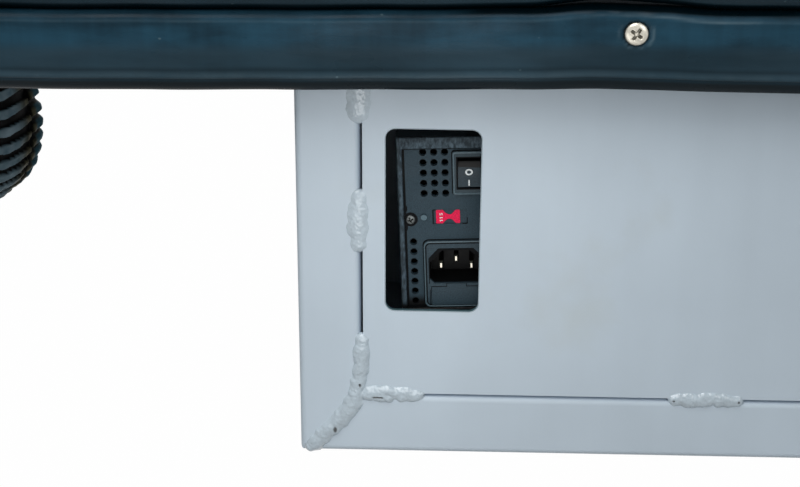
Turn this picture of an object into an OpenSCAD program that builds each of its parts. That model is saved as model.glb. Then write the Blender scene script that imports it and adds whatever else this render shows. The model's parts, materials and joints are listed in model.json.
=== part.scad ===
// Drawer-type batch reflow oven on a castored cart, with a welded power box under the rear.
// Millimetres. Origin on the floor under the centre of the cart, +Z up, the drawer faces -Y.

/* [Castors] */
// Radius of the tyres over the tread lugs
wheel_r = 75; // [60:1:90]
// Width of the tyres
tyre_w = 74; // [60:1:80]
// Number of chevron lugs round a tyre
lug_count = 36; // [24:4:40]
// Height of the tread lugs
lug_h = 4; // [2:0.5:6]
// Radius of the tyre's bead seat
bead_r = 48; // [40:1:52]
// Height from the floor to the castor mounting face
castor_h = 193; // [190:1:230]
// Distance of the castors in from the sides of the cart
castor_side_in = 110; // [105:0.5:140]
// Distance of the front swivel pins in from the front of the cart
castor_front_in = 127.2; // [125:0.1:140]
// Distance of the rear castors in from the rear of the cart
castor_rear_in = 129; // [125:1:140]
// Trail of the swivel castors
trail = 35; // [20:1:40]
// Heading of the front castors at rest, from straight sideways towards the front
heading = 40; // [0:5:90]
// Radius of the wheel axles
axle_r = 6; // [5:0.5:8]
// Radius of the swivel pins
kingpin_r = 8; // [6:0.5:12]
// Thickness of the fork legs
fork_t = 4; // [3:0.5:6]

/* [Cart] */
// Overall width across the bumper strips
base_w = 1060; // [1040:10:1200]
// Overall depth across the bumper strips
base_d = 580; // [570:10:700]
// Height of the deck's folded skirt
deck_h = 68.6; // [66:0.2:90]
// Sheet thickness of the deck
deck_t = 3; // [2:0.5:4]
// Joint between the deck's skirt and its inward flange
flange_joint = 0.2; // [0.1:0.1:0.5]
// Width of the deck's inward flange
deck_flange = 40; // [30:1:60]
// Corner radius of the deck
deck_r = 31; // [20:1:60]
// Width of the castor beams
beam_w = 90; // [80:1:120]
// Height of the castor beams
beam_h = 50; // [40:1:60]
// Wall of the beams and of the cross rail
beam_t = 3; // [2:0.5:4]
// Depth of the cross rail that carries the front of the power box
rail_d = 20; // [15:1:40]
// Radius of the cable hole through the deck
cable_r = 25; // [15:1:40]

/* [Bumpers] */
// Height of one bumper strip
strip_h = 34.3; // [30:0.1:40]
// Thickness of a bumper strip
strip_t = 9; // [7:0.5:14]
// Gap between the two strips
strip_gap = 1.3; // [0.5:0.1:3]
// How far the lower strip hangs below the deck
strip_drop = 2.8; // [0:0.1:6]
// Height of a strip's screws above its lower edge
strip_screw_z = 25.6; // [12:0.1:26]
// Pitch of the bumper screws along the front and rear
strip_pitch = 300; // [200:10:320]
// Radius of a bumper screw's head
strip_screw_r = 5.15; // [4:0.05:6]

/* [Power box] */
// Width of the power box
box_w = 290; // [250:1:330]
// Depth of the power box
box_d = 200; // [180:1:220]
// Distance from the centre of the cart to the rear face of the power box
box_rear = 265; // [250:1:268]
// How far the power box hangs below the deck
box_drop = 187.7; // [170:0.1:188]
// Sheet thickness of the power box
box_t = 2; // [1.5:0.5:3]
// Width of the folded rim round the rear panel
rim_w = 28.9; // [20:0.1:40]
// Open seam between the rim and the panel
seam = 0.9; // [0.5:0.1:2]
// Outer bend radius of the box
bend_r = 3; // [2:0.5:5]
// Outer bend radius of the lip folded in round the panel
roll_r = 3.5; // [2:0.5:4]
// Depth of that lip
lip_d = 10; // [6:1:20]
// Width of the window in the panel
win_w = 42.4; // [30:0.1:60]
// Height of the window in the panel
win_h = 87.4; // [60:0.1:100]
// Corner radius of the window
win_r = 4.5; // [2:0.5:10]
// Centre of the window, in from the side of the box
win_in = 61.25; // [61.25:0.05:80]
// Centre of the window, below the deck
win_z = 71.8; // [60:0.1:80]
// Height of the weld beads over the panel
weld_h = 2.6; // [1:0.1:4]

/* [Power unit] */
// Width of the power unit
unit_w = 150; // [130:1:160]
// Height of the power unit
unit_h = 86; // [80:1:90]
// Depth of the power unit
unit_d = 140; // [120:1:160]
// Distance from the unit's recessed plate to the outside of the panel
unit_back = 12; // [10:0.5:20]
// Tilt of the unit in the box, degrees
unit_tilt = 2.3; // [0:0.1:4]
// Depth of the unit's recessed plate inside its bezel
unit_recess = 1.5; // [0.5:0.1:3]
// Wall of the unit's case
unit_t = 1.6; // [1:0.1:3]
// Pitch of the unit's vent holes
vent_pitch = 4.91; // [4:0.01:6]
// Radius of the unit's vent holes
vent_r = 1.5; // [0.8:0.05:1.9]
// Width of the rocker switch's frame
switch_w = 14.8; // [12:0.1:16]
// Height of the rocker switch's frame
switch_h = 20.5; // [18:0.1:24]
// Width of the selector's slider
slider_w = 11.8; // [8:0.1:14]
// Travel of the selector's slider
slider_travel = 2.6; // [1:0.1:4]
// Spacing of the outer pins of the inlet
pin_pitch = 14; // [13.5:0.1:14.5]
// Travel of the fuse drawer
fuse_travel = 6; // [4:0.5:8]

/* [Oven body] */
// Width of the oven body
body_w = 1000; // [960:10:1020]
// Distance from the middle of the cart to the front of the body
body_front = 250; // [240:1:255]
// Distance from the middle of the cart to the rear of the body
body_rear = 270; // [260:1:275]
// Height of the oven body
body_h = 428.4; // [420:0.1:500]
// Sheet thickness of the body
body_t = 2; // [1:0.5:3]
// Depth of the lid's folded edge
lid_edge = 22; // [15:1:40]
// Inside width of the oven chamber
cavity_w = 666; // [640:2:680]
// Inside height of the oven chamber
cavity_h = 226; // [210:2:240]
// Inside depth of the oven chamber
cavity_d = 436; // [420:2:450]
// Thickness of the insulation
wool_t = 25; // [20:1:30]
// Height of the stands under the insulation
stand_h = 81.4; // [60:0.1:90]
// Number of quartz lamps
lamp_count = 6; // [4:1:7]
// Radius of the quartz lamps
lamp_r = 5; // [4:0.5:7]
// Radius of the convection fan
fan_r = 80; // [60:1:90]
// Number of fan blades
blade_count = 10; // [6:1:14]
// Radius of the fan's shaft
shaft_r = 4; // [3:0.5:6]
// Outer radius of the exhaust collar
collar_r = 50; // [40:1:60]
// Height of the exhaust collar above the lid
collar_h = 50; // [30:1:80]

/* [Drawer] */
// Thickness of the drawer front
front_t = 13.7; // [10:0.1:16]
// How far the drawer front laps the body round its opening
front_lap = 12; // [8:1:16]
// Radius of the drawer handle's bar
handle_r = 7; // [5:0.5:8]
// Length of the drawer handle
handle_l = 420; // [200:10:600]
// Distance from the drawer front to the middle of the handle's bar
handle_out = 17; // [15:0.5:18]
// Width of the drawer's window
glass_w = 360; // [200:10:420]
// Height of the drawer's window
glass_h = 96; // [60:1:120]
// Number of rods in the drawer's mesh
rod_count = 15; // [9:2:21]
// Height of the tray above the floor of the chamber
tray_z = 50; // [40:1:80]
// Height of the tray's rails
tray_h = 16; // [12:1:24]

/* [Controls] */
// Radius of the push buttons
button_r = 8; // [6:0.5:10]
// Travel of the push buttons
button_travel = 1.5; // [1:0.1:2]
// Pitch of the push buttons
button_pitch = 42; // [30:1:60]
// Width of the display
display_w = 90; // [60:1:120]
// Height of the display
display_h = 60; // [40:1:80]
// Radius of the stop button's head
stop_r = 19; // [15:1:25]
// Travel of the stop button
stop_travel = 6; // [4:0.5:8]

/* [Hidden] */
$fn = 48;
through = 1;                // how far a cut runs past the face it cuts
play = 0.3;                 // gap between pieces that move past each other
fit = 0.05;                 // radial running clearance of a shaft
rounding = 3;

// Cart
castor_x = base_w / 2 - castor_side_in;
castor_front = base_d / 2 - castor_front_in;
castor_rear = base_d / 2 - castor_rear_in;
deck_w = base_w - 2 * strip_t;
deck_d = base_d - 2 * strip_t;
deck_z = castor_h + beam_h;
deck_top = deck_z + deck_h;
beam_inset = 6;             // the beams stop this far inside the deck's skirt
beam_l = deck_d - 2 * beam_inset;
box_y0 = box_rear - box_d;
cable_x = 20;
cable_y = box_rear - box_d / 2;

// Bumper strips, as offsets out from the skirt and up from the lower edge
strip_dish = 0.9;
strip_foot = 3.2;
strip_lip = 4.2;
strip_profile = [[0, 0], [strip_foot, 0], [strip_t, strip_lip], [strip_t, strip_lip + 2.1],
    [strip_t - strip_dish, strip_lip + 4], [strip_t - strip_dish, strip_h - 6.5],
    [strip_t, strip_h - 4], [strip_t - 1.4, strip_h - 0.9], [strip_t - 3.5, strip_h], [0, strip_h]];
lower_z = deck_z - strip_drop;
upper_z = lower_z + strip_h + strip_gap;
screw_seat = strip_t - strip_dish - 1;
strip_head_h = 1.8;
strip_shank_r = 2;
side_screw_y = 0.3 * base_d;

// Castors
plate_t = 4;
plate_w = 85;
plate_l = 100;
crown_z = 2 * wheel_r + 5;  // underside of the fork's crown
crown_t = 8;
housing_r = 24;
leg_y = tyre_w / 2 + 6;     // inner face of a fork's leg
boss_r = 18;
bolt_r = 10;
bolt_t = 5;
rim_t = 6;
hub_r = 15;

// Power unit: its own frame has its origin on the plate, x as the cart's, y out of the plate, z up
win_x = box_w / 2 - win_in;
unit_x = win_x - 10.9;
unit_y = box_rear - unit_back;
unit_z = deck_z - win_z - 23.9;
unit_right = 25.8;          // +x side of the unit
unit_top = 61.2;
bezel_side = 2.5;
bezel_top = 5.6;
plate_depth = 2;            // thickness of the unit's rear plate
switch_x = -6.8;
switch_z = 43.6;
switch_open_w = 10.8;
switch_open_h = 14.7;
switch_depth = 12;
switch_proud = 1.4;
rocker_pivot_y = -1;
rocker_tip_r = 7;
trunnion_r = 1;
selector_x = 2.4;
selector_z = 22.4;
selector_h = 6.9;
selector_w = slider_w + slider_travel + 2 * 0.5;
selector_depth = 3.5;
selector_wall = 1.2;
inlet_x = 0.15;
inlet_w = 29.3;
inlet_top = 10.9;
inlet_h = 32.6;
inlet_proud = 1.8;
socket_w = 24.5;
socket_h = 16.5;
socket_top = 6.5;
socket_d = 15;
socket_cut = 6;             // the socket's cut corners
inlet_back = 3;
fuse_w = 24.2;
fuse_h = 7.4;
fuse_bottom = -21;
fuse_d = 17;
notch_w = 9;
case_screw = [20.5, 21.3];
dot = [14.3, 22.3];
mark = [17.7, 51.4];
vent_corner = [13.9, 53.4];
vent_column = [19.4, 10.3];
unit_screw_r = 2.2;

// Oven body
body_z = deck_top;
lid_z = body_z + body_h;
wool_gap = 3;               // between the insulation and the left side of the body
wool_joint = 0.2;           // butt joints between the insulation boards
cavity_x = (cavity_w - body_w) / 2 + 2 * body_t + wool_t + wool_gap; // middle of the chamber
wool_x0 = cavity_x - cavity_w / 2 - body_t - wool_t;
wool_x1 = cavity_x + cavity_w / 2 + body_t + wool_t;
wool_z = body_z + body_t + stand_h;
chamber_z = wool_z + wool_t;
cavity_z = chamber_z + body_t;
inner_front = body_front - body_t;
cavity_rear = cavity_d - inner_front;
wool_rear = cavity_rear + body_t + wool_t;
fan_z = cavity_z + cavity_h / 2;
fan_depth = 25;
fan_gap = 3;
motor_r = 35;
motor_l = 38;
lamp_z = cavity_z + cavity_h - 18;
lamp_y0 = -180;
lamp_y1 = 120;
holder_t = 10;
holder_h = 30;
collar_y = 20;
collar_t = 2;
collar_flange = 15;
opening_inset = 3;          // the front panel's opening inside the chamber's walls
opening_z = 12;
stand_w = 40;
stand_ys = [-170, 120];

// Drawer
runner_w = 10;
runner_h = 12;
runner_t = 2;
runner_gap = 0.4;
tray_rail = 10;
tray_rear = 130;
tray_half = cavity_w / 2 - runner_t - opening_inset - runner_w;
tray_base = cavity_z + tray_z;
front_y = -body_front - play;
front_w = cavity_w + 2 * (front_lap - opening_inset);
front_h = cavity_h - 2 * opening_z + 2 * front_lap;
front_mid = cavity_z + cavity_h / 2;
glass_t = 4;
glass_lap = 6;
post_r = 6;
rod_r = 1.5;

// Controls
column_x = (wool_x1 + body_w / 2) / 2;
display_up = 300;           // the display's, buttons' and stop button's heights in the body
button_up = 215;
stop_up = 110;
display_z = body_z + display_up;
button_z = body_z + button_up;
stop_z = body_z + stop_up;
board_side = 22;            // how far the board reaches past the display
board_below = 30;
board_above = 18;
board_edge = 8;             // from the board's edges to its pillars
pillar_r = 3;
louvre_w = 90;
louvre_h = 5;
louvre_pitch = 12;
louvre_x = 60;              // between the chamber's middle and the rear louvres' middles
louvre_y = 60;              // between the cart's middle and the side louvres' middles
louvre_drop = 90;           // from the lid to the first side louvre
board_y = -body_front + 8;
board_t = 2;
display_proud = 2;
stop_shaft_r = 8;
stop_block_r = 13;

// ---------- helpers ----------
// Rounded rectangle with true arcs, centred
module rrect(w, d, r) {
    square([w - 2 * r, d], center = true);
    square([w, d - 2 * r], center = true);
    for (x = [-1, 1], y = [-1, 1]) translate([x * (w / 2 - r), y * (d / 2 - r)]) circle(r);
}

// Rectangle with only its two lower corners rounded, from y = 0 up, centred in x
module footed(w, h, r) {
    translate([-w / 2, r]) square([w, h - r]);
    translate([-w / 2 + r, 0]) square([w - 2 * r, h]);
    for (x = [-1, 1]) translate([x * (w / 2 - r), r]) circle(r);
}

// Block from corner a to corner b
module block(a, b) {
    translate(a) cube(b - a);
}

// Extrudes a profile drawn in x and z along +y
module along_y(l) {
    rotate([90, 0, 0]) mirror([0, 0, 1]) linear_extrude(l) children();
}

// Extrudes a profile drawn in y and z along +x
module along_x(l) {
    rotate([90, 0, 90]) linear_extrude(l) children();
}

// Rod along +y from y = 0
module rod_y(r, l) {
    rotate([-90, 0, 0]) cylinder(r = r, h = l);
}

// ---------- cart ----------
// Puts its child at every bumper screw of a strip, with +y out of the skirt and y = 0 on it
module at_strip_screws(z0) {
    for (s = [0, 180], x = [-strip_pitch, 0, strip_pitch])
        rotate([0, 0, s]) translate([x, deck_d / 2, z0 + strip_screw_z]) children();
    for (s = [90, 270], y = [-side_screw_y, side_screw_y])
        rotate([0, 0, s]) translate([y, deck_w / 2, z0 + strip_screw_z]) children();
}

// Skirt with a flange welded in flush at its bottom; the plate lies on it
module deck_frame() {
    color([0.16, 0.2, 0.23]) difference() {
        translate([0, 0, deck_z]) linear_extrude(deck_h - deck_t) rrect(deck_w, deck_d, deck_r);
        translate([0, 0, deck_z + deck_t]) linear_extrude(deck_h)
            rrect(deck_w - 2 * deck_t, deck_d - 2 * deck_t, deck_r - deck_t);
        translate([0, 0, deck_z - through]) linear_extrude(deck_t + 2 * through)
            rrect(deck_w - 2 * deck_t, deck_d - 2 * deck_t, deck_r - deck_t);
        for (z = [lower_z, upper_z]) at_strip_screws(z)
            translate([0, -deck_t - through, 0]) rod_y(strip_shank_r + play / 2, deck_t + 2 * through);
    }
    inset = 2 * (deck_t + flange_joint);
    color([0.16, 0.2, 0.23]) difference() {
        translate([0, 0, deck_z]) linear_extrude(deck_t)
            rrect(deck_w - inset, deck_d - inset, deck_r - inset / 2);
        translate([0, 0, deck_z - through]) linear_extrude(deck_t + 2 * through)
            rrect(deck_w - 2 * deck_flange, deck_d - 2 * deck_flange, deck_r / 2);
    }
}

module deck_plate() {
    color([0.16, 0.2, 0.23]) difference() {
        translate([0, 0, deck_top - deck_t]) linear_extrude(deck_t) rrect(deck_w, deck_d, deck_r);
        translate([cable_x, cable_y, deck_top - deck_t - through])
            cylinder(r = cable_r, h = deck_t + 2 * through);
    }
}

module castor_beams() {
    color([0.2, 0.22, 0.24]) for (s = [-1, 1]) translate([s * castor_x, 0, castor_h]) difference() {
        block([-beam_w / 2, -beam_l / 2, 0], [beam_w / 2, beam_l / 2, beam_h]);
        block([-beam_w / 2 + beam_t, -beam_l, beam_t], [beam_w / 2 - beam_t, beam_l, beam_h - beam_t]);
    }
}

module cross_rail() {
    rail_x = castor_x - beam_w / 2;
    color([0.2, 0.22, 0.24]) difference() {
        block([-rail_x, box_y0 - rail_d, castor_h], [rail_x, box_y0, deck_z]);
        block([-rail_x - through, box_y0 - rail_d + beam_t, castor_h + beam_t],
            [rail_x + through, box_y0 - beam_t, deck_z - beam_t]);
    }
}

// One run of a strip, l long, on a side at distance off from the centre
module strip_run(l, off) {
    translate([-l / 2, off, 0]) along_x(l) polygon(strip_profile);
}

module bumper(z0) {
    run_x = deck_w - 2 * deck_r;
    run_y = deck_d - 2 * deck_r;
    color([0.06, 0.1, 0.13]) difference() {
        translate([0, 0, z0]) union() {
            for (s = [0, 180]) rotate([0, 0, s]) strip_run(run_x, deck_d / 2);
            for (s = [90, 270]) rotate([0, 0, s]) strip_run(run_y, deck_w / 2);
            for (s = [0, 1], t = [0, 1]) mirror([s, 0, 0]) mirror([0, t, 0])
                translate([run_x / 2, run_y / 2, 0]) rotate_extrude(angle = 90)
                    translate([deck_r, 0]) polygon(strip_profile);
        }
        at_strip_screws(z0) translate([0, -through, 0])
            rod_y(strip_shank_r + play / 2, strip_t + 2 * through);
        at_strip_screws(z0) translate([0, screw_seat, 0]) rod_y(strip_screw_r + 1, strip_t);
    }
}

module lower_bumper() { bumper(lower_z); }
module upper_bumper() { bumper(upper_z); }

module bumper_screws() {
    color([0.75, 0.74, 0.7]) for (z = [lower_z, upper_z]) at_strip_screws(z) {
        translate([0, screw_seat, 0]) rod_y(strip_screw_r, strip_head_h / 2);
        translate([0, screw_seat + strip_head_h / 2, 0]) rod_y(strip_screw_r * 0.8, strip_head_h / 2);
        translate([0, -deck_t - 4, 0]) rod_y(strip_shank_r, screw_seat + deck_t + 4);
    }
}

// ---------- castors ----------
// side 1 is the operator's right, -1 the left
module at_front_castor(side) {
    translate([side * castor_x, -castor_front, 0]) rotate([0, 0, side > 0 ? -heading : heading - 180])
        children();
}

module at_front_wheel(side) {
    at_front_castor(side) translate([trail, 0, wheel_r]) children();
}

module at_rear_wheel(side) {
    translate([side * castor_x, castor_rear, wheel_r]) rotate([0, 0, 90]) children();
}

module castor_plates() {
    color([0.68, 0.7, 0.72]) {
        for (s = [-1, 1]) difference() {
            translate([s * castor_x, -castor_front, 0]) union() {
                translate([0, 0, castor_h - plate_t]) linear_extrude(plate_t) rrect(plate_w, plate_l, 6);
                translate([0, 0, crown_z + crown_t + play]) cylinder(r = housing_r,
                    h = castor_h - plate_t - crown_z - crown_t - play);
            }
            translate([s * castor_x, -castor_front, crown_z])
                cylinder(r = kingpin_r + fit, h = castor_h - crown_z - plate_t / 2);
        }
        for (s = [-1, 1]) translate([s * castor_x, castor_rear, castor_h - plate_t])
            linear_extrude(plate_t) rrect(plate_w, plate_l, 6);
    }
}

// Fork with its axle bolt, in the castor's frame: the wheel's middle at x = offset
module fork(offset) {
    difference() {
        union() {
            translate([offset / 2 - 30, -leg_y - fork_t, crown_z]) cube([60, 2 * (leg_y + fork_t), crown_t]);
            for (s = [-1, 1]) translate([0, s * (leg_y + fork_t / 2) - fork_t / 2, 0]) along_y(fork_t) {
                polygon([[offset / 2 - 30, crown_z + crown_t], [offset / 2 + 30, crown_z + crown_t],
                    [offset + boss_r, wheel_r], [offset - boss_r, wheel_r]]);
                translate([offset, wheel_r]) circle(boss_r);
            }
        }
        translate([offset, -leg_y - fork_t - through, wheel_r])
            rod_y(axle_r + fit, 2 * (leg_y + fork_t + through));
    }
    translate([offset, -leg_y - fork_t, wheel_r]) rod_y(axle_r, 2 * (leg_y + fork_t));
    for (s = [-1, 1]) translate([offset, s * (leg_y + fork_t + bolt_t / 2) - bolt_t / 2, wheel_r])
        rod_y(bolt_r, bolt_t);
}

module front_fork(side) {
    color([0.68, 0.7, 0.72]) at_front_castor(side) {
        fork(trail);
        translate([0, 0, crown_z + crown_t])
            cylinder(r = kingpin_r, h = castor_h - crown_z - crown_t - plate_t);
    }
}

module front_left_fork() { front_fork(-1); }
module front_right_fork() { front_fork(1); }

module rear_forks() {
    color([0.68, 0.7, 0.72]) for (s = [-1, 1]) translate([s * castor_x, castor_rear, 0]) {
        rotate([0, 0, 90]) fork(0);
        translate([0, 0, crown_z + crown_t])
            cylinder(r = housing_r, h = castor_h - plate_t - crown_z - crown_t);
    }
}

// Tyre cross-section: [place across as a share of half the width, radius below the lugs, lug share]
tread_r = wheel_r - lug_h;
tyre_ring = [[-0.8, bead_r, 0], [-1, bead_r + 11, 0], [-0.96, tread_r - 8.5, 0.9],
    [-0.54, tread_r - 2, 1], [0, tread_r, 1], [0.54, tread_r - 2, 1],
    [0.96, tread_r - 8.5, 0.9], [1, bead_r + 11, 0], [0.8, bead_r, 0]];
lug_steps = [0, 0.5, 0.62, 0.88];  // lug top from 0 to 0.5 of the pitch, groove from 0.62 to 0.88
lug_sweep = -7.8;                  // how far the chevrons trail at the shoulders, degrees
function tyre_point(i, j) =
    let (row = tyre_ring[j], phase = i % 4,
        turn = 360 / lug_count * (floor(i / 4) + lug_steps[phase]) + lug_sweep * abs(row[0]),
        r = row[1] + (phase < 2 ? row[2] * lug_h : 0))
    [r * cos(turn), row[0] * tyre_w / 2, r * sin(turn)];

// Tyre about the y axis, with chevron lugs whose shoulder ends lead towards +x at the top
module tyre() {
    n = 4 * lug_count;
    m = len(tyre_ring);
    color([0.09, 0.11, 0.12]) polyhedron(
        points = [for (i = [0:n - 1], j = [0:m - 1]) tyre_point(i, j)],
        faces = [for (i = [0:n - 1], j = [0:m - 1], k = [0, 1])
            let (a = i * m + j, b = i * m + (j + 1) % m,
                c = (i + 1) % n * m + (j + 1) % m, d = (i + 1) % n * m + j)
            k == 0 ? [a, b, c] : [a, c, d]]);
}

module rim() {
    half = 0.8 * tyre_w / 2;
    color([0.6, 0.62, 0.64]) rotate([90, 0, 0]) difference() {
        rotate_extrude($fn = 96) {
            translate([axle_r + fit, -leg_y + play]) square([hub_r - axle_r - fit, 2 * (leg_y - play)]);
            translate([hub_r - through, -rim_t / 2]) square([bead_r - hub_r, rim_t]);
            translate([bead_r - play - rim_t, -half]) square([rim_t, 2 * half]);
        }
    }
}

module front_left_tyre() { at_front_wheel(-1) tyre(); }
module front_right_tyre() { at_front_wheel(1) tyre(); }
module rear_left_tyre() { at_rear_wheel(-1) tyre(); }
module rear_right_tyre() { at_rear_wheel(1) tyre(); }
module front_left_rim() { at_front_wheel(-1) rim(); }
module front_right_rim() { at_front_wheel(1) rim(); }
module rear_left_rim() { at_rear_wheel(-1) rim(); }
module rear_right_rim() { at_rear_wheel(1) rim(); }

// ---------- power box ----------
box_z = deck_z - box_drop;
stitch_x = -31.5;           // one end of the stitch on the bottom seam
stitch_w = 27;
cover_w = box_w - 60;
cover_h = castor_h - box_z - 30;
cover_z = box_z + 14;

// What a bend takes off an edge that runs along +z, with the metal towards +x and -y
module edge_roll(l) {
    difference() {
        block([-through, -roll_r, 0], [roll_r, through, l]);
        translate([roll_r, -roll_r, -through]) cylinder(r = roll_r, h = l + 2 * through);
    }
}

module power_box_frame() {
    half = box_w / 2 - rim_w;
    rim_z = box_z + rim_w;
    color([0.7, 0.75, 0.78]) difference() {
        union() {
            power_box_shell();
            difference() {
                block([-half - box_t, box_rear - lip_d, rim_z - box_t],
                      [half + box_t, box_rear - box_t / 2, deck_z]);
                block([-half, box_rear - lip_d - through, rim_z], [half, box_rear, deck_z + through]);
            }
        }
        for (s = [0, 1]) mirror([s, 0, 0]) translate([half, box_rear, rim_z - roll_r])
            edge_roll(deck_z - rim_z + roll_r + through);
        translate([-half - roll_r, box_rear, rim_z]) rotate([0, 90, 0]) edge_roll(2 * (half + roll_r));
    }
}

module power_box_shell() {
    difference() {
        intersection() {
            translate([0, box_y0 + box_d / 2, box_z]) linear_extrude(box_drop) rrect(box_w, box_d, bend_r);
            translate([0, box_y0, box_z]) along_y(box_d) footed(box_w, box_drop, bend_r);
            translate([-box_w / 2, box_y0 + box_d / 2, box_z]) along_x(box_w) footed(box_d, box_drop, bend_r);
        }
        block([-box_w / 2 + box_t, box_y0 + box_t, box_z + box_t],
            [box_w / 2 - box_t, box_rear - box_t, deck_z + through]);
        block([-box_w / 2 + rim_w, box_rear - box_t - through, box_z + rim_w],
            [box_w / 2 - rim_w, box_rear + through, deck_z + through]);
        block([-cover_w / 2 + 10, box_y0 - through, cover_z + 10],
            [cover_w / 2 - 10, box_y0 + box_t + through, cover_z + cover_h - 10]);
    }
}

module power_box_panel() {
    half = box_w / 2 - rim_w - seam;
    color([0.68, 0.73, 0.76]) difference() {
        block([-half, box_rear - box_t, box_z + rim_w + seam], [half, box_rear, deck_z]);
        translate([win_x, box_rear - box_t - through, deck_z - win_z]) along_y(box_t + 2 * through)
            rrect(win_w, win_h, win_r);
    }
}

// One stitch of weld along the panel from a to b, each [x, z], as overlapping caps
module weld(a, b, r) {
    steps = max(1, round(norm(b - a) / (0.9 * r)));
    cap_r = (r * r + weld_h * weld_h) / (2 * weld_h);
    for (i = [0:steps]) let (p = a + (b - a) * i / steps)
        intersection() {
            translate([p[0], box_rear + weld_h - cap_r, p[1]]) sphere(cap_r, $fn = 32);
            translate([p[0] - r, box_rear, p[1] - r]) cube(2 * r);
        }
}

module weld_beads() {
    seam_x = box_w / 2 - rim_w - seam / 2;
    seam_z = box_z + rim_w + seam / 2;
    color([0.8, 0.83, 0.85]) for (s = [-1, 1]) {
        weld([s * seam_x, deck_z - 17], [s * seam_x, deck_z - 6], 4.5);
        weld([s * seam_x, seam_z + 76], [s * seam_x, seam_z + 97], 4);
        weld([s * seam_x, seam_z + 4], [s * seam_x, seam_z + 27], 4);
        weld([s * seam_x, seam_z], [s * (seam_x - 26), seam_z], 3.5);
        weld([s * (seam_x + 3), seam_z - 3], [s * (box_w / 2 - 3), box_z + 3], 4.5);
    }
    color([0.8, 0.83, 0.85]) weld([stitch_x, seam_z], [stitch_x - stitch_w, seam_z], 3.5);
}

module power_box_cover() {
    color([0.68, 0.73, 0.76]) translate([0, box_y0 - box_t, cover_z + cover_h / 2])
        along_y(box_t) rrect(cover_w, cover_h, 5);
}

// ---------- power unit ----------
module in_unit() {
    translate([unit_x, unit_y, unit_z]) rotate([0, unit_tilt, 0]) children();
}

// Puts its child at every vent of the unit's rear plate
module at_vents() {
    for (i = [0:2], j = [0:4])
        translate([vent_corner[0] - i * vent_pitch, 0, vent_corner[1] - j * vent_pitch]) children();
    for (j = [0:6]) translate([vent_column[0], 0, vent_column[1] - j * vent_pitch]) children();
}

module unit_housing() {
    left = unit_right - unit_w;
    bottom = unit_top - unit_h;
    color([0.17, 0.22, 0.26]) in_unit() difference() {
        block([left, unit_recess - unit_d, bottom], [unit_right, unit_recess, unit_top]);
        block([left + unit_t, unit_recess - unit_d + unit_t, bottom + unit_t],
            [unit_right - unit_t, -plate_depth, unit_top - unit_t]);
        block([left + bezel_side, 0, bottom + bezel_side],
            [unit_right - bezel_side, unit_recess + through, unit_top - bezel_top]);
        translate([case_screw[0], 0, case_screw[1]]) rod_y(unit_screw_r + 1.3, unit_recess + through);
        translate([case_screw[0], -plate_depth - through, case_screw[1]])
            rod_y(1.5, plate_depth + 2 * through);
        translate([mark[0], -0.15, mark[1]]) rod_y(4.6, 0.15 + through);
        translate([0, -plate_depth - through, 0]) at_vents() rod_y(vent_r, plate_depth + 2 * through);
        block([switch_x - switch_w / 2 + 0.8, -plate_depth - through, switch_z - switch_h / 2 + 0.8],
            [switch_x + switch_w / 2 - 0.8, through, switch_z + switch_h / 2 - 0.8]);
        block([selector_x - selector_w / 2, -plate_depth - through, selector_z - selector_h / 2],
            [selector_x + selector_w / 2, through, selector_z + selector_h / 2]);
        block([inlet_x - inlet_w / 2 + 1, -plate_depth - through, fuse_bottom - play],
            [inlet_x + inlet_w / 2 - 1, through, inlet_top - 1]);
    }
    color([0.17, 0.22, 0.26]) in_unit() translate([dot[0], 0, dot[1]]) rod_y(1.6, 0.5);
}

module unit_screws() {
    color([0.35, 0.37, 0.38]) in_unit() translate([case_screw[0], 0, case_screw[1]]) {
        rod_y(unit_screw_r, 1);
        translate([0, -6, 0]) rod_y(1.4, 6);
    }
}

module rocker_frame() {
    color([0.15, 0.2, 0.23]) in_unit() translate([switch_x, 0, switch_z]) difference() {
        union() {
            along_y(switch_proud) rrect(switch_w, switch_h, 1);
            translate([0, -switch_depth, 0]) along_y(switch_depth) square([switch_w - 1.8, switch_h - 1.8],
                center = true);
        }
        translate([0, -switch_depth + 1, 0]) along_y(switch_depth + switch_proud)
            square([switch_open_w, switch_open_h], center = true);
        translate([-switch_open_w / 2 - 0.8, rocker_pivot_y, 0]) rotate([0, 90, 0])
            cylinder(r = trunnion_r + fit, h = switch_open_w + 1.6);
    }
}

module rocker() {
    w = switch_open_w - 2 * play;
    color([0.12, 0.16, 0.19]) in_unit() translate([switch_x, 0, switch_z]) {
        translate([-w / 2, 0, 0]) along_x(w) polygon([[1.8, -6.4], [0.7, -2.2], [-0.2, 2.4], [-1.5, 4.8],
            [-3.6, 6.2], [-5.6, 4.8], [-7.4, 1.6], [-7.6, -1.6], [-6, -4.6], [-3.4, -6.4]]);
        translate([-w / 2 - 0.7, rocker_pivot_y, 0]) rotate([0, 90, 0]) cylinder(r = trunnion_r, h = w + 1.4);
    }
}

module selector_frame() {
    w = selector_w + 2 * selector_wall;
    h = selector_h + 2 * selector_wall;
    color([0.1, 0.13, 0.15]) in_unit() translate([selector_x, 0, selector_z]) difference() {
        translate([0, -plate_depth - selector_depth, 0]) along_y(selector_depth)
            square([w, h], center = true);
        translate([0, -selector_depth, 0]) along_y(selector_depth)
            square([selector_w, selector_h], center = true);
    }
}

module selector_slider() {
    h = selector_h - 2 * play;
    rest_x = selector_x + selector_w / 2 - slider_w - 0.5;
    color([0.85, 0.13, 0.3]) in_unit() translate([rest_x, -selector_depth + play / 2, selector_z])
        along_y(selector_depth - play) polygon([[0, -h / 2], [2.6, -h / 2], [slider_w * 0.42, -1.1],
            [slider_w * 0.58, -1.1], [slider_w - 3, -h / 2], [slider_w, -h / 2], [slider_w, h / 2],
            [slider_w - 3, h / 2], [slider_w * 0.58, 1.1], [slider_w * 0.42, 1.1], [2.6, h / 2], [0, h / 2]]);
}

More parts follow.
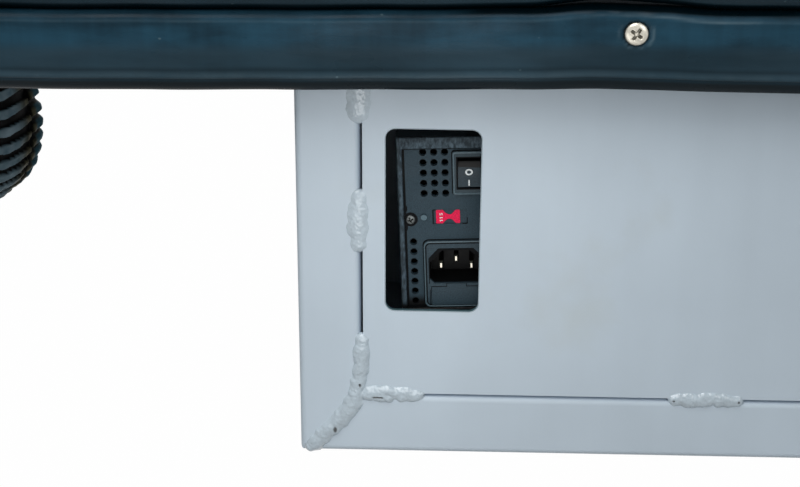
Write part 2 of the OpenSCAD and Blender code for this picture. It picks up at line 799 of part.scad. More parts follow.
// Outline of the mains socket, centred in x, with two cut upper corners
module socket_outline(grow) {
    w = socket_w / 2 + grow;
    top = socket_top + grow;
    bottom = socket_top - socket_h - grow;
    polygon([[-w, bottom], [w, bottom], [w, top - socket_cut], [w - socket_cut, top],
        [-w + socket_cut, top], [-w, top - socket_cut]]);
}

// The inlet's pins, as [x, z] with the earth pin in the middle
pin_places = [[-pin_pitch / 2, -2.4], [0, 1.6], [pin_pitch / 2, -2.4]];
pin_size = [2, 4];

module inlet_body() {
    bottom = inlet_top - inlet_h;
    color([0.14, 0.18, 0.21]) in_unit() translate([inlet_x, 0, 0]) difference() {
        union() {
            translate([0, 0, (inlet_top + bottom) / 2]) along_y(inlet_proud) rrect(inlet_w, inlet_h, 2.5);
            translate([0, -socket_d - inlet_back, (inlet_top + bottom) / 2]) along_y(socket_d + inlet_back)
                square([inlet_w - 2.2, inlet_h - 2.2], center = true);
        }
        translate([0, -socket_d, 0]) along_y(socket_d + inlet_proud + through) socket_outline(0);
        for (p = pin_places) translate([p[0], -socket_d - inlet_back - through, p[1]])
            along_y(inlet_back + 2 * through) square(pin_size + [0.04, 0.04], center = true);
        translate([0, -fuse_d - play, fuse_bottom + fuse_h / 2])
            along_y(fuse_d + inlet_proud + through + play)
                square([fuse_w + 2 * play, fuse_h + 2 * play], center = true);
    }
}

module inlet_pins() {
    color([0.85, 0.84, 0.8]) in_unit() translate([inlet_x, 0, 0]) for (p = pin_places)
        translate([p[0], -socket_d - inlet_back - 5, p[1]]) along_y(socket_d + inlet_back + 2)
            square(pin_size, center = true);
}

module fuse_drawer() {
    color([0.15, 0.19, 0.22]) in_unit() translate([inlet_x, 0, fuse_bottom]) difference() {
        translate([-fuse_w / 2, -fuse_d, 0]) cube([fuse_w, fuse_d + inlet_proud, fuse_h]);
        translate([-10.4, -fuse_d + 3, fuse_h / 2 - 2.9]) cube([20.8, 5.8, fuse_h]);
        for (s = [-1, 1]) translate([s * notch_w / 2 - 0.3, inlet_proud - 0.6, fuse_h - 1.8])
            cube([0.6, through + 0.6, 2]);
    }
}

module fuse() {
    color([0.8, 0.85, 0.86]) in_unit()
        translate([inlet_x - 10, -fuse_d + 5.9, fuse_bottom + fuse_h / 2 - 0.3])
            rotate([0, 90, 0]) cylinder(r = 2.5, h = 20);
}

module unit_bracket() {
    bottom = unit_top - unit_h;
    shelf_x0 = unit_right - unit_w;
    color([0.6, 0.63, 0.66]) intersection() {
        in_unit() {
            block([shelf_x0, 12 - unit_d, bottom - 2], [unit_right, -14, bottom]);
            for (x = [shelf_x0 + 12, unit_right - 14])
                block([x, 12 - unit_d, bottom - 80], [x + 2, -14, bottom - 2]);
        }
        translate([-box_w / 2, box_y0, box_z + box_t]) cube([box_w, box_d, box_drop]);
    }
}

// ---------- oven body ----------
module louvre() {
    rrect(louvre_w, louvre_h, louvre_h / 2 - 0.1);
}

module casing() {
    side = body_w / 2;
    color([0.74, 0.78, 0.8]) difference() {
        block([-side, -inner_front, body_z], [side, body_rear - body_t, lid_z - body_t]);
        block([-side + body_t, -body_front, body_z + body_t],
            [side - body_t, body_rear + through, lid_z + through]);
        translate([cable_x, cable_y, body_z - through]) cylinder(r = cable_r, h = body_t + 2 * through);
        for (i = [0:7], s = [-1, 1])
            translate([s * side, louvre_y, lid_z - louvre_drop - louvre_pitch * i]) rotate([0, 0, 90])
                translate([0, -body_t - through, 0]) along_y(2 * (body_t + through)) louvre();
    }
}

// Lid with its edge folded down outside the body
module top_panel() {
    w = body_w + 2 * body_t;
    d = body_front + body_rear + 2 * body_t;
    mid_y = (body_rear - body_front) / 2;
    color([0.74, 0.78, 0.8]) difference() {
        intersection() {
            translate([0, mid_y, lid_z - lid_edge]) linear_extrude(lid_edge) rrect(w, d, rounding);
            translate([0, mid_y - d / 2, lid_z]) mirror([0, 0, 1]) along_y(d) footed(w, lid_edge, rounding);
            translate([-w / 2, mid_y, lid_z]) mirror([0, 0, 1]) along_x(w) footed(d, lid_edge, rounding);
        }
        block([-body_w / 2, -body_front, lid_z - lid_edge - through],
            [body_w / 2, body_rear, lid_z - body_t]);
        translate([cavity_x, collar_y, lid_z - body_t - through])
            cylinder(r = collar_r + play, h = body_t + 2 * through, $fn = 96);
    }
}

module rear_panel() {
    side = body_w / 2;
    color([0.74, 0.78, 0.8]) difference() {
        block([-side, body_rear - body_t, body_z], [side, body_rear, lid_z - body_t]);
        for (i = [0:9], x = [cavity_x - louvre_x, cavity_x + louvre_x, column_x])
            translate([x, body_rear - body_t - through, fan_z + (5.5 - i) * louvre_pitch])
                along_y(body_t + 2 * through) louvre();
    }
}

module front_panel() {
    side = body_w / 2;
    color([0.78, 0.81, 0.82]) difference() {
        block([-side, -body_front, body_z], [side, -inner_front, lid_z - body_t]);
        block([cavity_x - cavity_w / 2 + opening_inset, -body_front - through, cavity_z + opening_z],
            [cavity_x + cavity_w / 2 - opening_inset, -inner_front + through,
                cavity_z + cavity_h - opening_z]);
        block([column_x - display_w / 2 - 0.5, -body_front - through, display_z - display_h / 2 - 0.5],
            [column_x + display_w / 2 + 0.5, -inner_front + through, display_z + display_h / 2 + 0.5]);
        for (i = [-1:1]) translate([column_x + i * button_pitch, -body_front - through, button_z])
            rod_y(button_r + play, body_t + 2 * through);
        translate([column_x, -body_front - through, stop_z]) rod_y(stop_block_r + play, body_t + 2 * through);
    }
}

module chamber_stands() {
    h = stand_h;
    color([0.55, 0.57, 0.6]) for (y = stand_ys) translate([wool_x0, y - stand_w / 2, body_z + body_t])
        difference() {
            cube([wool_x1 - wool_x0, stand_w, h]);
            translate([-through, body_t, -through])
                cube([wool_x1 - wool_x0 + 2 * through, stand_w - 2 * body_t, h + through - body_t]);
        }
}

// Boards butted together round the chamber: floor, roof, sides and back
module insulation() {
    roof_z = chamber_z + cavity_h + 2 * body_t;
    color([0.85, 0.82, 0.72]) {
        block([wool_x0, -inner_front, wool_z], [wool_x1, wool_rear, chamber_z]);
        for (x = [wool_x0, wool_x1 - wool_t])
            block([x, -inner_front, chamber_z + wool_joint], [x + wool_t, wool_rear, roof_z - wool_joint]);
        difference() {
            block([wool_x0 + wool_t + wool_joint, wool_rear - wool_t, chamber_z + wool_joint],
                [wool_x1 - wool_t - wool_joint, wool_rear, roof_z - wool_joint]);
            translate([cavity_x, wool_rear - wool_t - through, fan_z])
                rod_y(shaft_r + 3, wool_t + 2 * through);
        }
        difference() {
            block([wool_x0, -inner_front, roof_z], [wool_x1, wool_rear, roof_z + wool_t]);
            translate([cavity_x, collar_y, roof_z - through])
                cylinder(r = collar_r + play, h = wool_t + 2 * through, $fn = 96);
        }
    }
}

module chamber() {
    half = cavity_w / 2;
    color([0.7, 0.71, 0.72]) difference() {
        block([cavity_x - half - body_t, -inner_front, chamber_z],
            [cavity_x + half + body_t, cavity_rear + body_t, chamber_z + cavity_h + 2 * body_t]);
        block([cavity_x - half, -inner_front - through, cavity_z],
            [cavity_x + half, cavity_rear, cavity_z + cavity_h]);
        translate([cavity_x, cavity_rear - through, fan_z]) rod_y(shaft_r + 2, body_t + 2 * through);
        translate([cavity_x, collar_y, cavity_z + cavity_h - through])
            cylinder(r = collar_r - collar_t, h = body_t + 2 * through, $fn = 96);
    }
}

function lamp_y(i) = lamp_y0 + (lamp_y1 - lamp_y0) * i / (lamp_count - 1);

module lamps() {
    l = cavity_w - 6;
    color([0.9, 0.85, 0.7]) for (i = [0:lamp_count - 1])
        translate([cavity_x - l / 2, lamp_y(i), lamp_z]) rotate([0, 90, 0]) cylinder(r = lamp_r, h = l);
}

module lamp_holders() {
    color([0.88, 0.87, 0.82]) for (s = [-1, 1]) difference() {
        translate([cavity_x + s * (cavity_w / 2 - holder_t / 2) - holder_t / 2, lamp_y0 - 15,
            lamp_z - holder_h / 2]) cube([holder_t, lamp_y1 - lamp_y0 + 30, holder_h]);
        for (i = [0:lamp_count - 1])
            translate([cavity_x + s * (cavity_w / 2 - holder_t / 2) - holder_t, lamp_y(i), lamp_z])
                rotate([0, 90, 0]) cylinder(r = lamp_r + play, h = 2 * holder_t);
    }
}

module fan_motor() {
    color([0.3, 0.32, 0.34]) translate([cavity_x, wool_rear, fan_z]) difference() {
        union() {
            along_y(body_t) rrect(2 * motor_r + 20, 2 * motor_r + 20, 8);
            rod_y(motor_r, motor_l);
        }
        translate([0, -through, 0]) rod_y(shaft_r + fit, motor_l - 4);
    }
}

module fan_wheel() {
    disc_y = cavity_rear - fan_gap - body_t;
    color([0.72, 0.73, 0.74]) translate([cavity_x, disc_y, fan_z]) {
        rod_y(fan_r, body_t);
        translate([0, -fan_depth, 0]) rod_y(12, fan_depth);
        rod_y(shaft_r, wool_rear + motor_l - 8 - disc_y);
        for (i = [0:blade_count - 1]) rotate([0, 360 / blade_count * i, 0])
            translate([10, -fan_depth, -1]) cube([fan_r - 14, fan_depth, 2]);
    }
}

module exhaust_collar() {
    z0 = chamber_z + cavity_h + 2 * body_t;
    color([0.7, 0.72, 0.74]) translate([cavity_x, collar_y, 0]) rotate_extrude($fn = 96) {
        translate([collar_r - collar_t, z0]) square([collar_t, lid_z + collar_h - z0]);
        translate([collar_r - collar_t, lid_z]) square([collar_t + collar_flange, 2]);
    }
}

// ---------- drawer ----------
module drawer_front() {
    color([0.78, 0.81, 0.82]) difference() {
        translate([cavity_x, front_y - front_t, front_mid]) along_y(front_t) rrect(front_w, front_h, 8);
        translate([cavity_x, front_y - front_t - through, front_mid]) along_y(front_t + 2 * through)
            rrect(glass_w, glass_h, 6);
        translate([cavity_x, front_y - glass_t - 2, front_mid]) along_y(glass_t + 2 + through)
            rrect(glass_w + 2 * glass_lap, glass_h + 2 * glass_lap, 6);
    }
}

module drawer_window() {
    color([0.3, 0.35, 0.38, 0.5]) translate([cavity_x, front_y - glass_t - 2, front_mid]) along_y(glass_t)
        rrect(glass_w + 2 * glass_lap - 0.4, glass_h + 2 * glass_lap - 0.4, 6);
}

module drawer_handle() {
    handle_z = front_mid + front_h / 2 - 26;
    y0 = front_y - front_t;
    color([0.62, 0.64, 0.66]) {
        translate([cavity_x - handle_l / 2, y0 - handle_out, handle_z]) rotate([0, 90, 0])
            cylinder(r = handle_r, h = handle_l);
        for (s = [-1, 1]) translate([cavity_x + s * (handle_l / 2 - 30), y0 - handle_out, handle_z])
            rod_y(post_r, handle_out);
    }
}

module drawer_tray() {
    length = tray_rear - front_y;
    color([0.66, 0.68, 0.7]) translate([cavity_x, front_y, tray_base]) {
        for (s = [-1, 1]) translate([s * (tray_half - tray_rail / 2) - tray_rail / 2, 0, 0])
            cube([tray_rail, length, tray_h]);
        for (y = [0, length - tray_rail]) translate([-tray_half, y, 0])
            cube([2 * tray_half, tray_rail, tray_h]);
        for (i = [1:rod_count]) translate([(i / (rod_count + 1) - 0.5) * 2 * tray_half, tray_rail / 2,
            tray_h / 2]) rod_y(rod_r, length - tray_rail);
    }
}

module sliding_runners() {
    length = tray_rear - front_y;
    color([0.5, 0.52, 0.55]) for (s = [-1, 1])
        translate([cavity_x + s * (tray_half + runner_w / 2) - runner_w / 2, front_y,
            tray_base + (tray_h - runner_h) / 2]) cube([runner_w, length, runner_h]);
}

module fixed_runners() {
    h = runner_h + 2 * (runner_gap + runner_t);
    length = tray_rear + 20 + inner_front;
    reach = runner_t + opening_inset + runner_w - 2;
    color([0.6, 0.62, 0.65]) for (s = [0, 1]) translate([cavity_x, 0, 0]) mirror([s, 0, 0])
        translate([cavity_w / 2 - reach, -inner_front, tray_base + (tray_h - h) / 2]) difference() {
            cube([reach, length, h]);
            translate([-through, -through, runner_t])
                cube([reach + through - runner_t, length + 2 * through, h - 2 * runner_t]);
        }
}

// ---------- controls ----------
module display() {
    color([0.05, 0.08, 0.1]) translate([column_x, -body_front - display_proud, display_z])
        along_y(board_y + body_front + display_proud) rrect(display_w, display_h, 2);
}

module controller_board() {
    half = display_w / 2 + board_side;
    z0 = button_z - board_below;
    z1 = display_z + display_h / 2 + board_above;
    color([0.1, 0.4, 0.2]) {
        block([column_x - half, board_y, z0], [column_x + half, board_y + board_t, z1]);
        for (x = [board_edge - half, half - board_edge], z = [z0 + board_edge, z1 - board_edge])
            translate([column_x + x, -inner_front, z]) rod_y(pillar_r, board_y + inner_front);
        for (i = [-1:1]) block([column_x + i * button_pitch - 3, board_y - 2, button_z - 3],
            [column_x + i * button_pitch + 3, board_y, button_z + 3]);
    }
}

module push_button(i) {
    color([0.2, 0.24, 0.27]) translate([column_x + i * button_pitch, 0, button_z]) {
        translate([0, -body_front - 4, 0]) rod_y(button_r, body_t + play + 4);
        translate([0, -inner_front + play, 0]) rod_y(button_r + 2, board_y + inner_front - play
            - button_travel - play - 2);
    }
}

module up_button() { push_button(-1); }
module start_button() { push_button(0); }
module down_button() { push_button(1); }

module stop_base() {
    color([0.85, 0.72, 0.1]) translate([column_x, -body_front, stop_z]) difference() {
        union() {
            translate([0, -4, 0]) rod_y(stop_r + 3, 4);
            rod_y(stop_block_r, 36);
        }
        translate([0, -4 - through, 0]) rod_y(stop_shaft_r + fit, 38);
    }
}

module stop_button() {
    y0 = -body_front - 4 - play - stop_travel;
    color([0.75, 0.08, 0.08]) translate([column_x, y0, stop_z]) {
        translate([0, -12, 0]) rod_y(stop_r, 12);
        translate([0, -15, 0]) rod_y(stop_r - 4, 3);
        rod_y(stop_shaft_r, 26);
    }
}

module panel_screws() {
    color([0.7, 0.7, 0.68]) {
        for (x = [-1, 1], z = [body_z + 14, lid_z - lid_edge - 14], y = [0, 1]) mirror([0, y, 0])
            translate([x * (body_w / 2 - 14), y == 0 ? body_rear : body_front, z]) rod_y(4, 1.8);
        for (x = [-1, 1], z = [cover_z + 6, cover_z + cover_h - 6])
            translate([x * (cover_w / 2 - 6), box_y0 - box_t - 1.8, z]) rod_y(3.5, 1.8);
        for (x = [-1, 1], y = [-1, 1]) translate([x * (body_w / 2 - 20),
            (body_rear - body_front) / 2 + y * ((body_rear + body_front) / 2 - 20), lid_z])
            cylinder(r = 4, h = 1.8);
    }
}

deck_frame();
deck_plate();
castor_beams();
cross_rail();
lower_bumper();
upper_bumper();
bumper_screws();
castor_plates();
front_left_fork();
front_right_fork();
rear_forks();
front_left_tyre();
front_right_tyre();
rear_left_tyre();
rear_right_tyre();
front_left_rim();
front_right_rim();
rear_left_rim();
rear_right_rim();
power_box_frame();
power_box_panel();
weld_beads();
power_box_cover();
unit_housing();
unit_screws();
rocker_frame();
rocker();
selector_frame();
selector_slider();
inlet_body();
inlet_pins();
fuse_drawer();
fuse();
unit_bracket();
casing();
top_panel();
rear_panel();
front_panel();
chamber_stands();
insulation();
chamber();
lamps();
lamp_holders();
fan_motor();
fan_wheel();
exhaust_collar();
drawer_front();
drawer_window();
drawer_handle();
drawer_tray();
sliding_runners();
fixed_runners();
display();
controller_board();
up_button();
start_button();
down_button();
stop_base();
stop_button();
panel_screws();
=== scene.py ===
import json
import math
import random

import bmesh
import bpy
from mathutils import Matrix, Vector, noise


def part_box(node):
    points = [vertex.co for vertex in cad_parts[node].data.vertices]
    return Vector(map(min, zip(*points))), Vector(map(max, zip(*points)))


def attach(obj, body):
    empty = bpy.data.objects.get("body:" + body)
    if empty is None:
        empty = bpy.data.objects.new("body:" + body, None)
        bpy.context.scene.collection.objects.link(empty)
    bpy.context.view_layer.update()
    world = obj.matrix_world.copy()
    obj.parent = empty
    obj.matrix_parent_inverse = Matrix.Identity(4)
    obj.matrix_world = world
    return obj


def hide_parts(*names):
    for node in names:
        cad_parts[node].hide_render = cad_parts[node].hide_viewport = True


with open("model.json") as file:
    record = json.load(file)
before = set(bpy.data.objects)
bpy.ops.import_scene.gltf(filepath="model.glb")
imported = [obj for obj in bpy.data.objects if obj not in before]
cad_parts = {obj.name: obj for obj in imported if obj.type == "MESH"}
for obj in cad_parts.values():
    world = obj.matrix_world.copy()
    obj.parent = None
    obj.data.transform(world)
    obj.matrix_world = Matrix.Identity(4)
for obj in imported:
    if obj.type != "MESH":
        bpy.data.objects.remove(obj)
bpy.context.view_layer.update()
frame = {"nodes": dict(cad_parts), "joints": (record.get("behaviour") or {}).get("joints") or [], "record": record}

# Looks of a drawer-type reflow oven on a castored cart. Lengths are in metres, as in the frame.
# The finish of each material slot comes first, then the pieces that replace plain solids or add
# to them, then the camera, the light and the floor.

MM = 0.001
nodes = frame["nodes"]
record = frame["record"]
slot_of = {row["node"]: row["material_slot"] for row in record["subparts"]}
body_of = {name: body for body, names in record["behaviour"]["bodies"].items() for name in names}


# ---------- finishes ----------
def srgb(red, green, blue):
    """Linear colour of 0-255 display values."""
    def linear(value):
        value /= 255
        return value / 12.92 if value <= 0.04045 else ((value + 0.055) / 1.055) ** 2.4
    return (linear(red), linear(green), linear(blue), 1.0)


# Near black that stands in for shade: the painted shade of the moulded and powder finishes
SHADE_BLACK = srgb(3, 4, 5)


class Finish:
    """A Principled material, with a short call for each kind of node it needs."""

    def __init__(self, name, color, rough, metal=0.0, **sockets):
        self.material = bpy.data.materials.new(name)
        self.material.use_nodes = True
        self.tree = self.material.node_tree
        self.shader = self.tree.nodes["Principled BSDF"]
        sockets.update(Base_Color=color, Roughness=rough, Metallic=metal)
        for socket, value in sockets.items():
            self.shader.inputs[socket.replace("_", " ")].default_value = value
        self.place = self.tree.nodes.new("ShaderNodeTexCoord").outputs["Object"]

    def node(self, kind, **inputs):
        made = self.tree.nodes.new("ShaderNode" + kind)
        for socket, value in inputs.items():
            self.feed(made, socket.replace("_", " "), value)
        return made

    def feed(self, made, socket, value):
        if isinstance(value, bpy.types.NodeSocket):
            self.tree.links.new(value, made.inputs[socket])
        else:
            made.inputs[socket].default_value = value

    def stretched(self, scale):
        return self.node("Mapping", Vector=self.place, Scale=scale).outputs["Vector"]

    def noise(self, scale, detail=2.0, stretch=None):
        place = self.stretched(stretch) if stretch else self.place
        return self.node("TexNoise", Vector=place, Scale=scale, Detail=detail).outputs["Fac"]

    def stored(self, name):
        """The red, green and blue a piece stores at its points under this name."""
        kept = self.node("Attribute")
        kept.attribute_name = name
        return self.node("SeparateColor", Color=kept.outputs["Color"]).outputs

    def depth(self, axis, start, end):
        """Goes from 0 to 1 as an object coordinate goes from start to end, in metres."""
        split = self.node("SeparateXYZ", Vector=self.place)
        return self.span(split.outputs[axis], 0.0, 1.0, start, end)

    def ramp(self, value, low, high, start=0.35, end=0.65):
        """Blends from colour low to colour high as value goes from start to end."""
        made = self.node("ValToRGB", Fac=value)
        first, last = made.color_ramp.elements
        first.position, last.position = start, end
        first.color, last.color = low, high
        return made.outputs["Color"]

    def shade(self, value, color, low, high, start=0.35, end=0.65):
        """Blends from the colour made darker by low to the colour made lighter by high."""
        return self.ramp(value, near(color, low), near(color, high), start, end)

    def span(self, value, low, high, start=0.3, end=0.7):
        """Goes from low to high as value goes from start to end."""
        return self.node("MapRange", Value=value, From_Min=start, From_Max=end,
                         To_Min=low, To_Max=high).outputs["Result"]

    def mix(self, share, first, second):
        """Goes from the first colour to the second as share goes from 0 to 1."""
        made = self.node("Mix")
        made.data_type = "RGBA"
        for index, value in ((0, share), (6, first), (7, second)):
            self.feed(made, index, value)
        return made.outputs[2]

    def color(self, socket):
        self.tree.links.new(socket, self.shader.inputs["Base Color"])

    def rough(self, value, low, high):
        self.tree.links.new(self.span(value, low, high), self.shader.inputs["Roughness"])

    def bump(self, *layers):
        """Each layer is (height socket, strength, distance in metres)."""
        normal = None
        for height, strength, distance in layers:
            made = self.node("Bump", Height=height, Strength=strength, Distance=distance)
            if normal:
                self.tree.links.new(normal, made.inputs["Normal"])
            normal = made.outputs["Normal"]
        self.tree.links.new(normal, self.shader.inputs["Normal"])


def near(color, factor):
    """The colour made lighter or darker."""
    return tuple(min(1.0, c * factor) for c in color[:3]) + (1.0,)


def tinted(color, red, green, blue):
    return (color[0] * red, color[1] * green, color[2] * blue, 1.0)


def paint(name, color, rough=0.42, peel=0.05, stain=0.3):
    """Sheet-steel paint with orange peel, faint cloudiness, a few grubby stains, and painted shade where a piece
    stores it.
    """
    made = Finish(name, color, rough, Specular_IOR_Level=0.35)
    cloud = made.shade(made.noise(9, 4), color, 0.93, 1.06)
    brush = made.shade(made.noise(60, 3, (1, 1, 0.12)), color, 0.97, 1.03)
    grime = made.ramp(made.noise(17, 5), (0, 0, 0, 1), (stain, stain, stain, 1), 0.63, 0.76)
    tone = made.mix(grime, made.mix(0.4, cloud, brush), tinted(color, 0.9, 0.84, 0.72))
    # The stored red share is painted shade: darker and bluer on the box's rolled edge at its seams
    made.color(made.mix(made.stored("tread_wear_and_painted_light")["Red"], tone, tinted(color, 0.5, 0.56, 0.66)))
    made.rough(made.noise(40, 3), rough - 0.06, rough + 0.08)
    made.bump((made.noise(700, 2), peel, 0.0004), (made.noise(60, 2), peel, 0.002))
    return made.material


def rubber(name, color, rough=0.3):
    """Extruded rubber: streaks along its run, blue bloom, faint upright wipes, dust specks, and the painted shade,
    painted highlight and grey that a strip stores.
    """
    made = Finish(name, color, rough, Specular_IOR_Level=0.08)
    bloom = made.shade(made.noise(60, 6, (0.4, 0.4, 1.2)), color, 0.4, 1.55, 0.42, 0.6)
    streak = made.shade(made.noise(150, 3, (0.06, 0.06, 1)), color, 0.66, 1.4)
    wipes = made.shade(made.noise(210, 2, (1, 1, 0.06)), color, 0.78, 1.25)
    tone = made.mix(0.35, made.mix(0.3, bloom, streak), wipes)
    kept = made.stored("tread_wear_and_painted_light")
    grey = made.ramp(made.noise(40, 3, (0.3, 0.3, 1.6)), srgb(28, 44, 52), srgb(42, 59, 68))
    # The stored blue share makes the face greyer towards its bottom
    tone = made.mix(kept["Blue"], tone, grey)
    speck = made.node("TexVoronoi", Vector=made.stretched((1, 1, 1.4)), Scale=75.0).outputs["Distance"]
    dust = made.ramp(speck, (0.5, 0.5, 0.5, 1), (0, 0, 0, 1), 0.025, 0.06)
    tone = made.mix(dust, tone, srgb(96, 118, 124))
    # The stored green share is painted highlight, in dusty tones, on the ridge, the lip and round the screw seats
    dusty_highlight = made.mix(made.noise(130, 4), srgb(60, 84, 96), srgb(112, 132, 140))
    pale = made.mix(kept["Green"], tone, dusty_highlight)
    # The stored red share is painted shade: near black on faces turned down, in the gap between the strips and
    # round the screw heads
    made.color(made.mix(kept["Red"], pale, srgb(0, 10, 15)))
    made.rough(made.noise(90, 4, (0.3, 0.3, 1)), rough - 0.1, rough + 0.16)
    made.bump((made.noise(420, 3, (0.15, 0.15, 1)), 0.12, 0.0006), (made.noise(1500, 2), 0.05, 0.0002))
    return made.material


def moulded(name, color, rough=0.45, grain=0.12, scale=1800, shine=0.5, dark=None):
    """Moulded plastic or powder coat with a fine grain; dark is where painted shade turns it black along an object
    coordinate.
    """
    made = Finish(name, color, rough, Specular_IOR_Level=shine)
    grain_noise = made.noise(scale, 3)
    tone = made.shade(grain_noise, color, 0.8, 1.25, 0.35, 0.68)
    # Painted shade: black as the coordinate goes from start to end
    if dark:
        tone = made.mix(made.depth(*dark), tone, SHADE_BLACK)
    made.color(tone)
    made.rough(made.noise(60, 3), rough - 0.06, rough + 0.1)
    made.bump((grain_noise, grain, 0.0005))
    return made.material


def powder(name, color, dark):
    """Coarse black powder coat: pale crests and pits, little shine, and painted shade that turns it black where a
    piece stores it and along the dark coordinate.
    """
    made = Finish(name, color, 0.55, Specular_IOR_Level=0.2)
    crests = made.noise(900, 3, (1, 1, 0.5))
    tone = made.shade(crests, color, 0.5, 1.7, 0.38, 0.72)
    # Painted shade: black where the stored red share says and along the dark coordinate
    for share in (made.stored("tread_wear_and_painted_light")["Red"], made.depth(*dark)):
        tone = made.mix(share, tone, SHADE_BLACK)
    made.color(tone)
    made.rough(crests, 0.7, 0.4)
    made.bump((crests, 0.8, 0.0006))
    return made.material


def metal(name, color, rough=0.3, grain=0.08, scale=900, stretch=(1, 1, 1)):
    """Bare or plated metal, brushed where stretch isn't even."""
    made = Finish(name, color, rough, 1.0)
    brush = made.noise(scale, 3, stretch)
    tone = made.shade(brush, color, 0.86, 1.1)
    # The stored red share is painted shade: dark in screw recesses and on blades deep in their socket
    made.color(made.mix(made.stored("painted_recess_shade")["Red"], tone, srgb(34, 36, 32)))
    made.rough(made.noise(35, 4), rough - 0.08, rough + 0.14)
    made.bump((brush, grain, 0.0003))
    return made.material


def tread_rubber(name, color):
    """Worn tyre rubber: grooves painted black as shade, blue-grey crown, brown grime towards the shoulder."""
    made = Finish(name, color, 0.55, Specular_IOR_Level=0.08)
    kept = made.stored("tread")
    crown = made.ramp(made.noise(90, 5), srgb(112, 140, 153), srgb(172, 196, 206), 0.33, 0.7)
    grimy = made.ramp(made.noise(70, 4), srgb(56, 58, 44), srgb(108, 102, 80), 0.35, 0.7)
    face = made.mix(kept["Green"], crown, grimy)
    rim = made.mix(kept["Blue"], face, srgb(54, 92, 104))
    # The stored red share goes near black down in the grooves, as painted shade, and part way on the bead
    made.color(made.mix(kept["Red"], srgb(1, 2, 3), rim))
    made.rough(made.noise(120, 3), 0.42, 0.7)
    made.bump((made.noise(900, 3), 0.25, 0.0006), (made.noise(150, 2), 0.2, 0.001))
    return made.material


def wool_board(name, color):
    """Pressed mineral wool, fibrous and matt."""
    made = Finish(name, color, 0.95)
    fibre = made.noise(260, 6, (1, 1, 3))
    made.color(made.ramp(fibre, srgb(190, 176, 140), srgb(232, 224, 198)))
    made.bump((fibre, 0.7, 0.002))
    return made.material


def clear(name, color, rough=0.05, alpha=0.35):
    """Glass or quartz with faint smears."""
    made = Finish(name, color, rough, Transmission_Weight=1.0, IOR=1.45, Alpha=alpha)
    smear = made.noise(45, 4)
    made.rough(smear, rough, rough + 0.12)
    return made.material


def circuit_board(name, color):
    """Solder mask with paler tracks under it."""
    made = Finish(name, color, 0.35)
    track = made.node("TexBrick", Vector=made.place, Scale=90.0).outputs["Fac"]
    made.color(made.ramp(track, srgb(20, 74, 44), srgb(60, 120, 70), 0.4, 0.6))
    made.bump((track, 0.1, 0.0003))
    return made.material


def weld_paint(name, color):
    """Paint pooled over a weld: glossy and a little greener, with painted shade in its pores."""
    made = Finish(name, color, 0.2, Coat_Weight=0.6, Coat_Roughness=0.08)
    kept = made.stored("painted_recess_shade")
    tone = made.shade(made.noise(180, 4), color, 0.9, 1.05, 0.3, 0.6)
    # The stored red share is painted shade in the pores
    made.color(made.mix(kept["Red"], tone, srgb(16, 22, 24)))
    made.rough(made.noise(300, 2), 0.14, 0.4)
    made.bump((made.noise(500, 3), 0.2, 0.0005))
    return made.material


# Each slot's kind of finish, its colour, and what else that kind takes
FINISHES = {
    "cart_steel": (paint, (46, 54, 60), 0.5, 0.08, 0.2),
    "bumper_rubber": (rubber, (28, 58, 73)),
    "screw_steel": (metal, (196, 192, 180), 0.3, 0.4, 500),
    "zinc_steel": (metal, (176, 180, 184), 0.38, 0.12, 300),
    "tyre_rubber": (tread_rubber, (30, 40, 46)),
    "rim_metal": (paint, (150, 155, 160), 0.4, 0.05, 0.5),
    "box_paint": (paint, (182, 194, 203)),
    "weld": (weld_paint, (168, 181, 189)),
    # The case goes black towards its bottom edge: painted shadow
    "unit_case": (moulded, (41, 58, 67), 0.5, 0.35, 2400, 0.2, ("Z", 0.131, 0.127)),
    "unit_screw": (metal, (92, 96, 96), 0.35),
    "switch_plastic": (moulded, (40, 56, 63), 0.4, 0.1, 1800, 0.2),
    # The rocker goes black towards its top, where its frame shades it: painted shadow
    "rocker_plastic": (moulded, (36, 51, 59), 0.4, 0.08, 1800, 0.2, ("Z", 0.1931, 0.1936)),
    "slider_red": (moulded, (224, 14, 72), 0.4, 0.08, 1800, 0.2),
    # The inlet goes black deeper into its socket: painted shade
    "inlet_plastic": (moulded, (46, 61, 69), 0.42, 0.12, 1800, 0.2, ("Y", 0.2536, 0.2528)),
    "pin_metal": (metal, (236, 230, 214), 0.3, 0.05),
    "fuse_glass": (clear, (220, 232, 235)),
    "body_paint": (paint, (182, 192, 200)),
    "front_paint": (paint, (196, 203, 208), 0.4, 0.05, 0.2),
    "wool": (wool_board, (214, 203, 172)),
    "stainless": (metal, (190, 192, 194), 0.3, 0.1, 700, (0.06, 1, 1)),
    "quartz": (clear, (238, 228, 210), 0.25, 0.8),
    "ceramic": (moulded, (226, 222, 210), 0.3, 0.05, 500),
    "motor_black": (paint, (38, 40, 43), 0.5, 0.1, 0.1),
    "window_glass": (clear, (70, 82, 90), 0.04, 0.6),
    "display_dark": (moulded, (14, 20, 26), 0.12, 0.02),
    "board_green": (circuit_board, (24, 84, 50)),
    "button_grey": (moulded, (86, 94, 100), 0.45, 0.1),
    "button_green": (moulded, (40, 140, 80), 0.4, 0.1),
    "stop_yellow": (moulded, (226, 190, 40), 0.4, 0.08),
    "stop_red": (moulded, (196, 32, 32), 0.25, 0.04),
}
materials = {name: make(name, srgb(*color), *rest)
             for name, (make, color, *rest) in FINISHES.items()}
for name, thing in nodes.items():
    thing.data.materials.clear()
    thing.data.materials.append(materials[slot_of[name]])


# ---------- building pieces ----------
def placed(name, mesh, body, slot, stands_for=()):
    """An object of this mesh that rides on a body and stands for some CAD nodes, or for none."""
    made = bpy.data.objects.new(name, mesh)
    bpy.context.scene.collection.objects.link(made)
    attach(made, body)
    if stands_for:
        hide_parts(*stands_for)
    return made


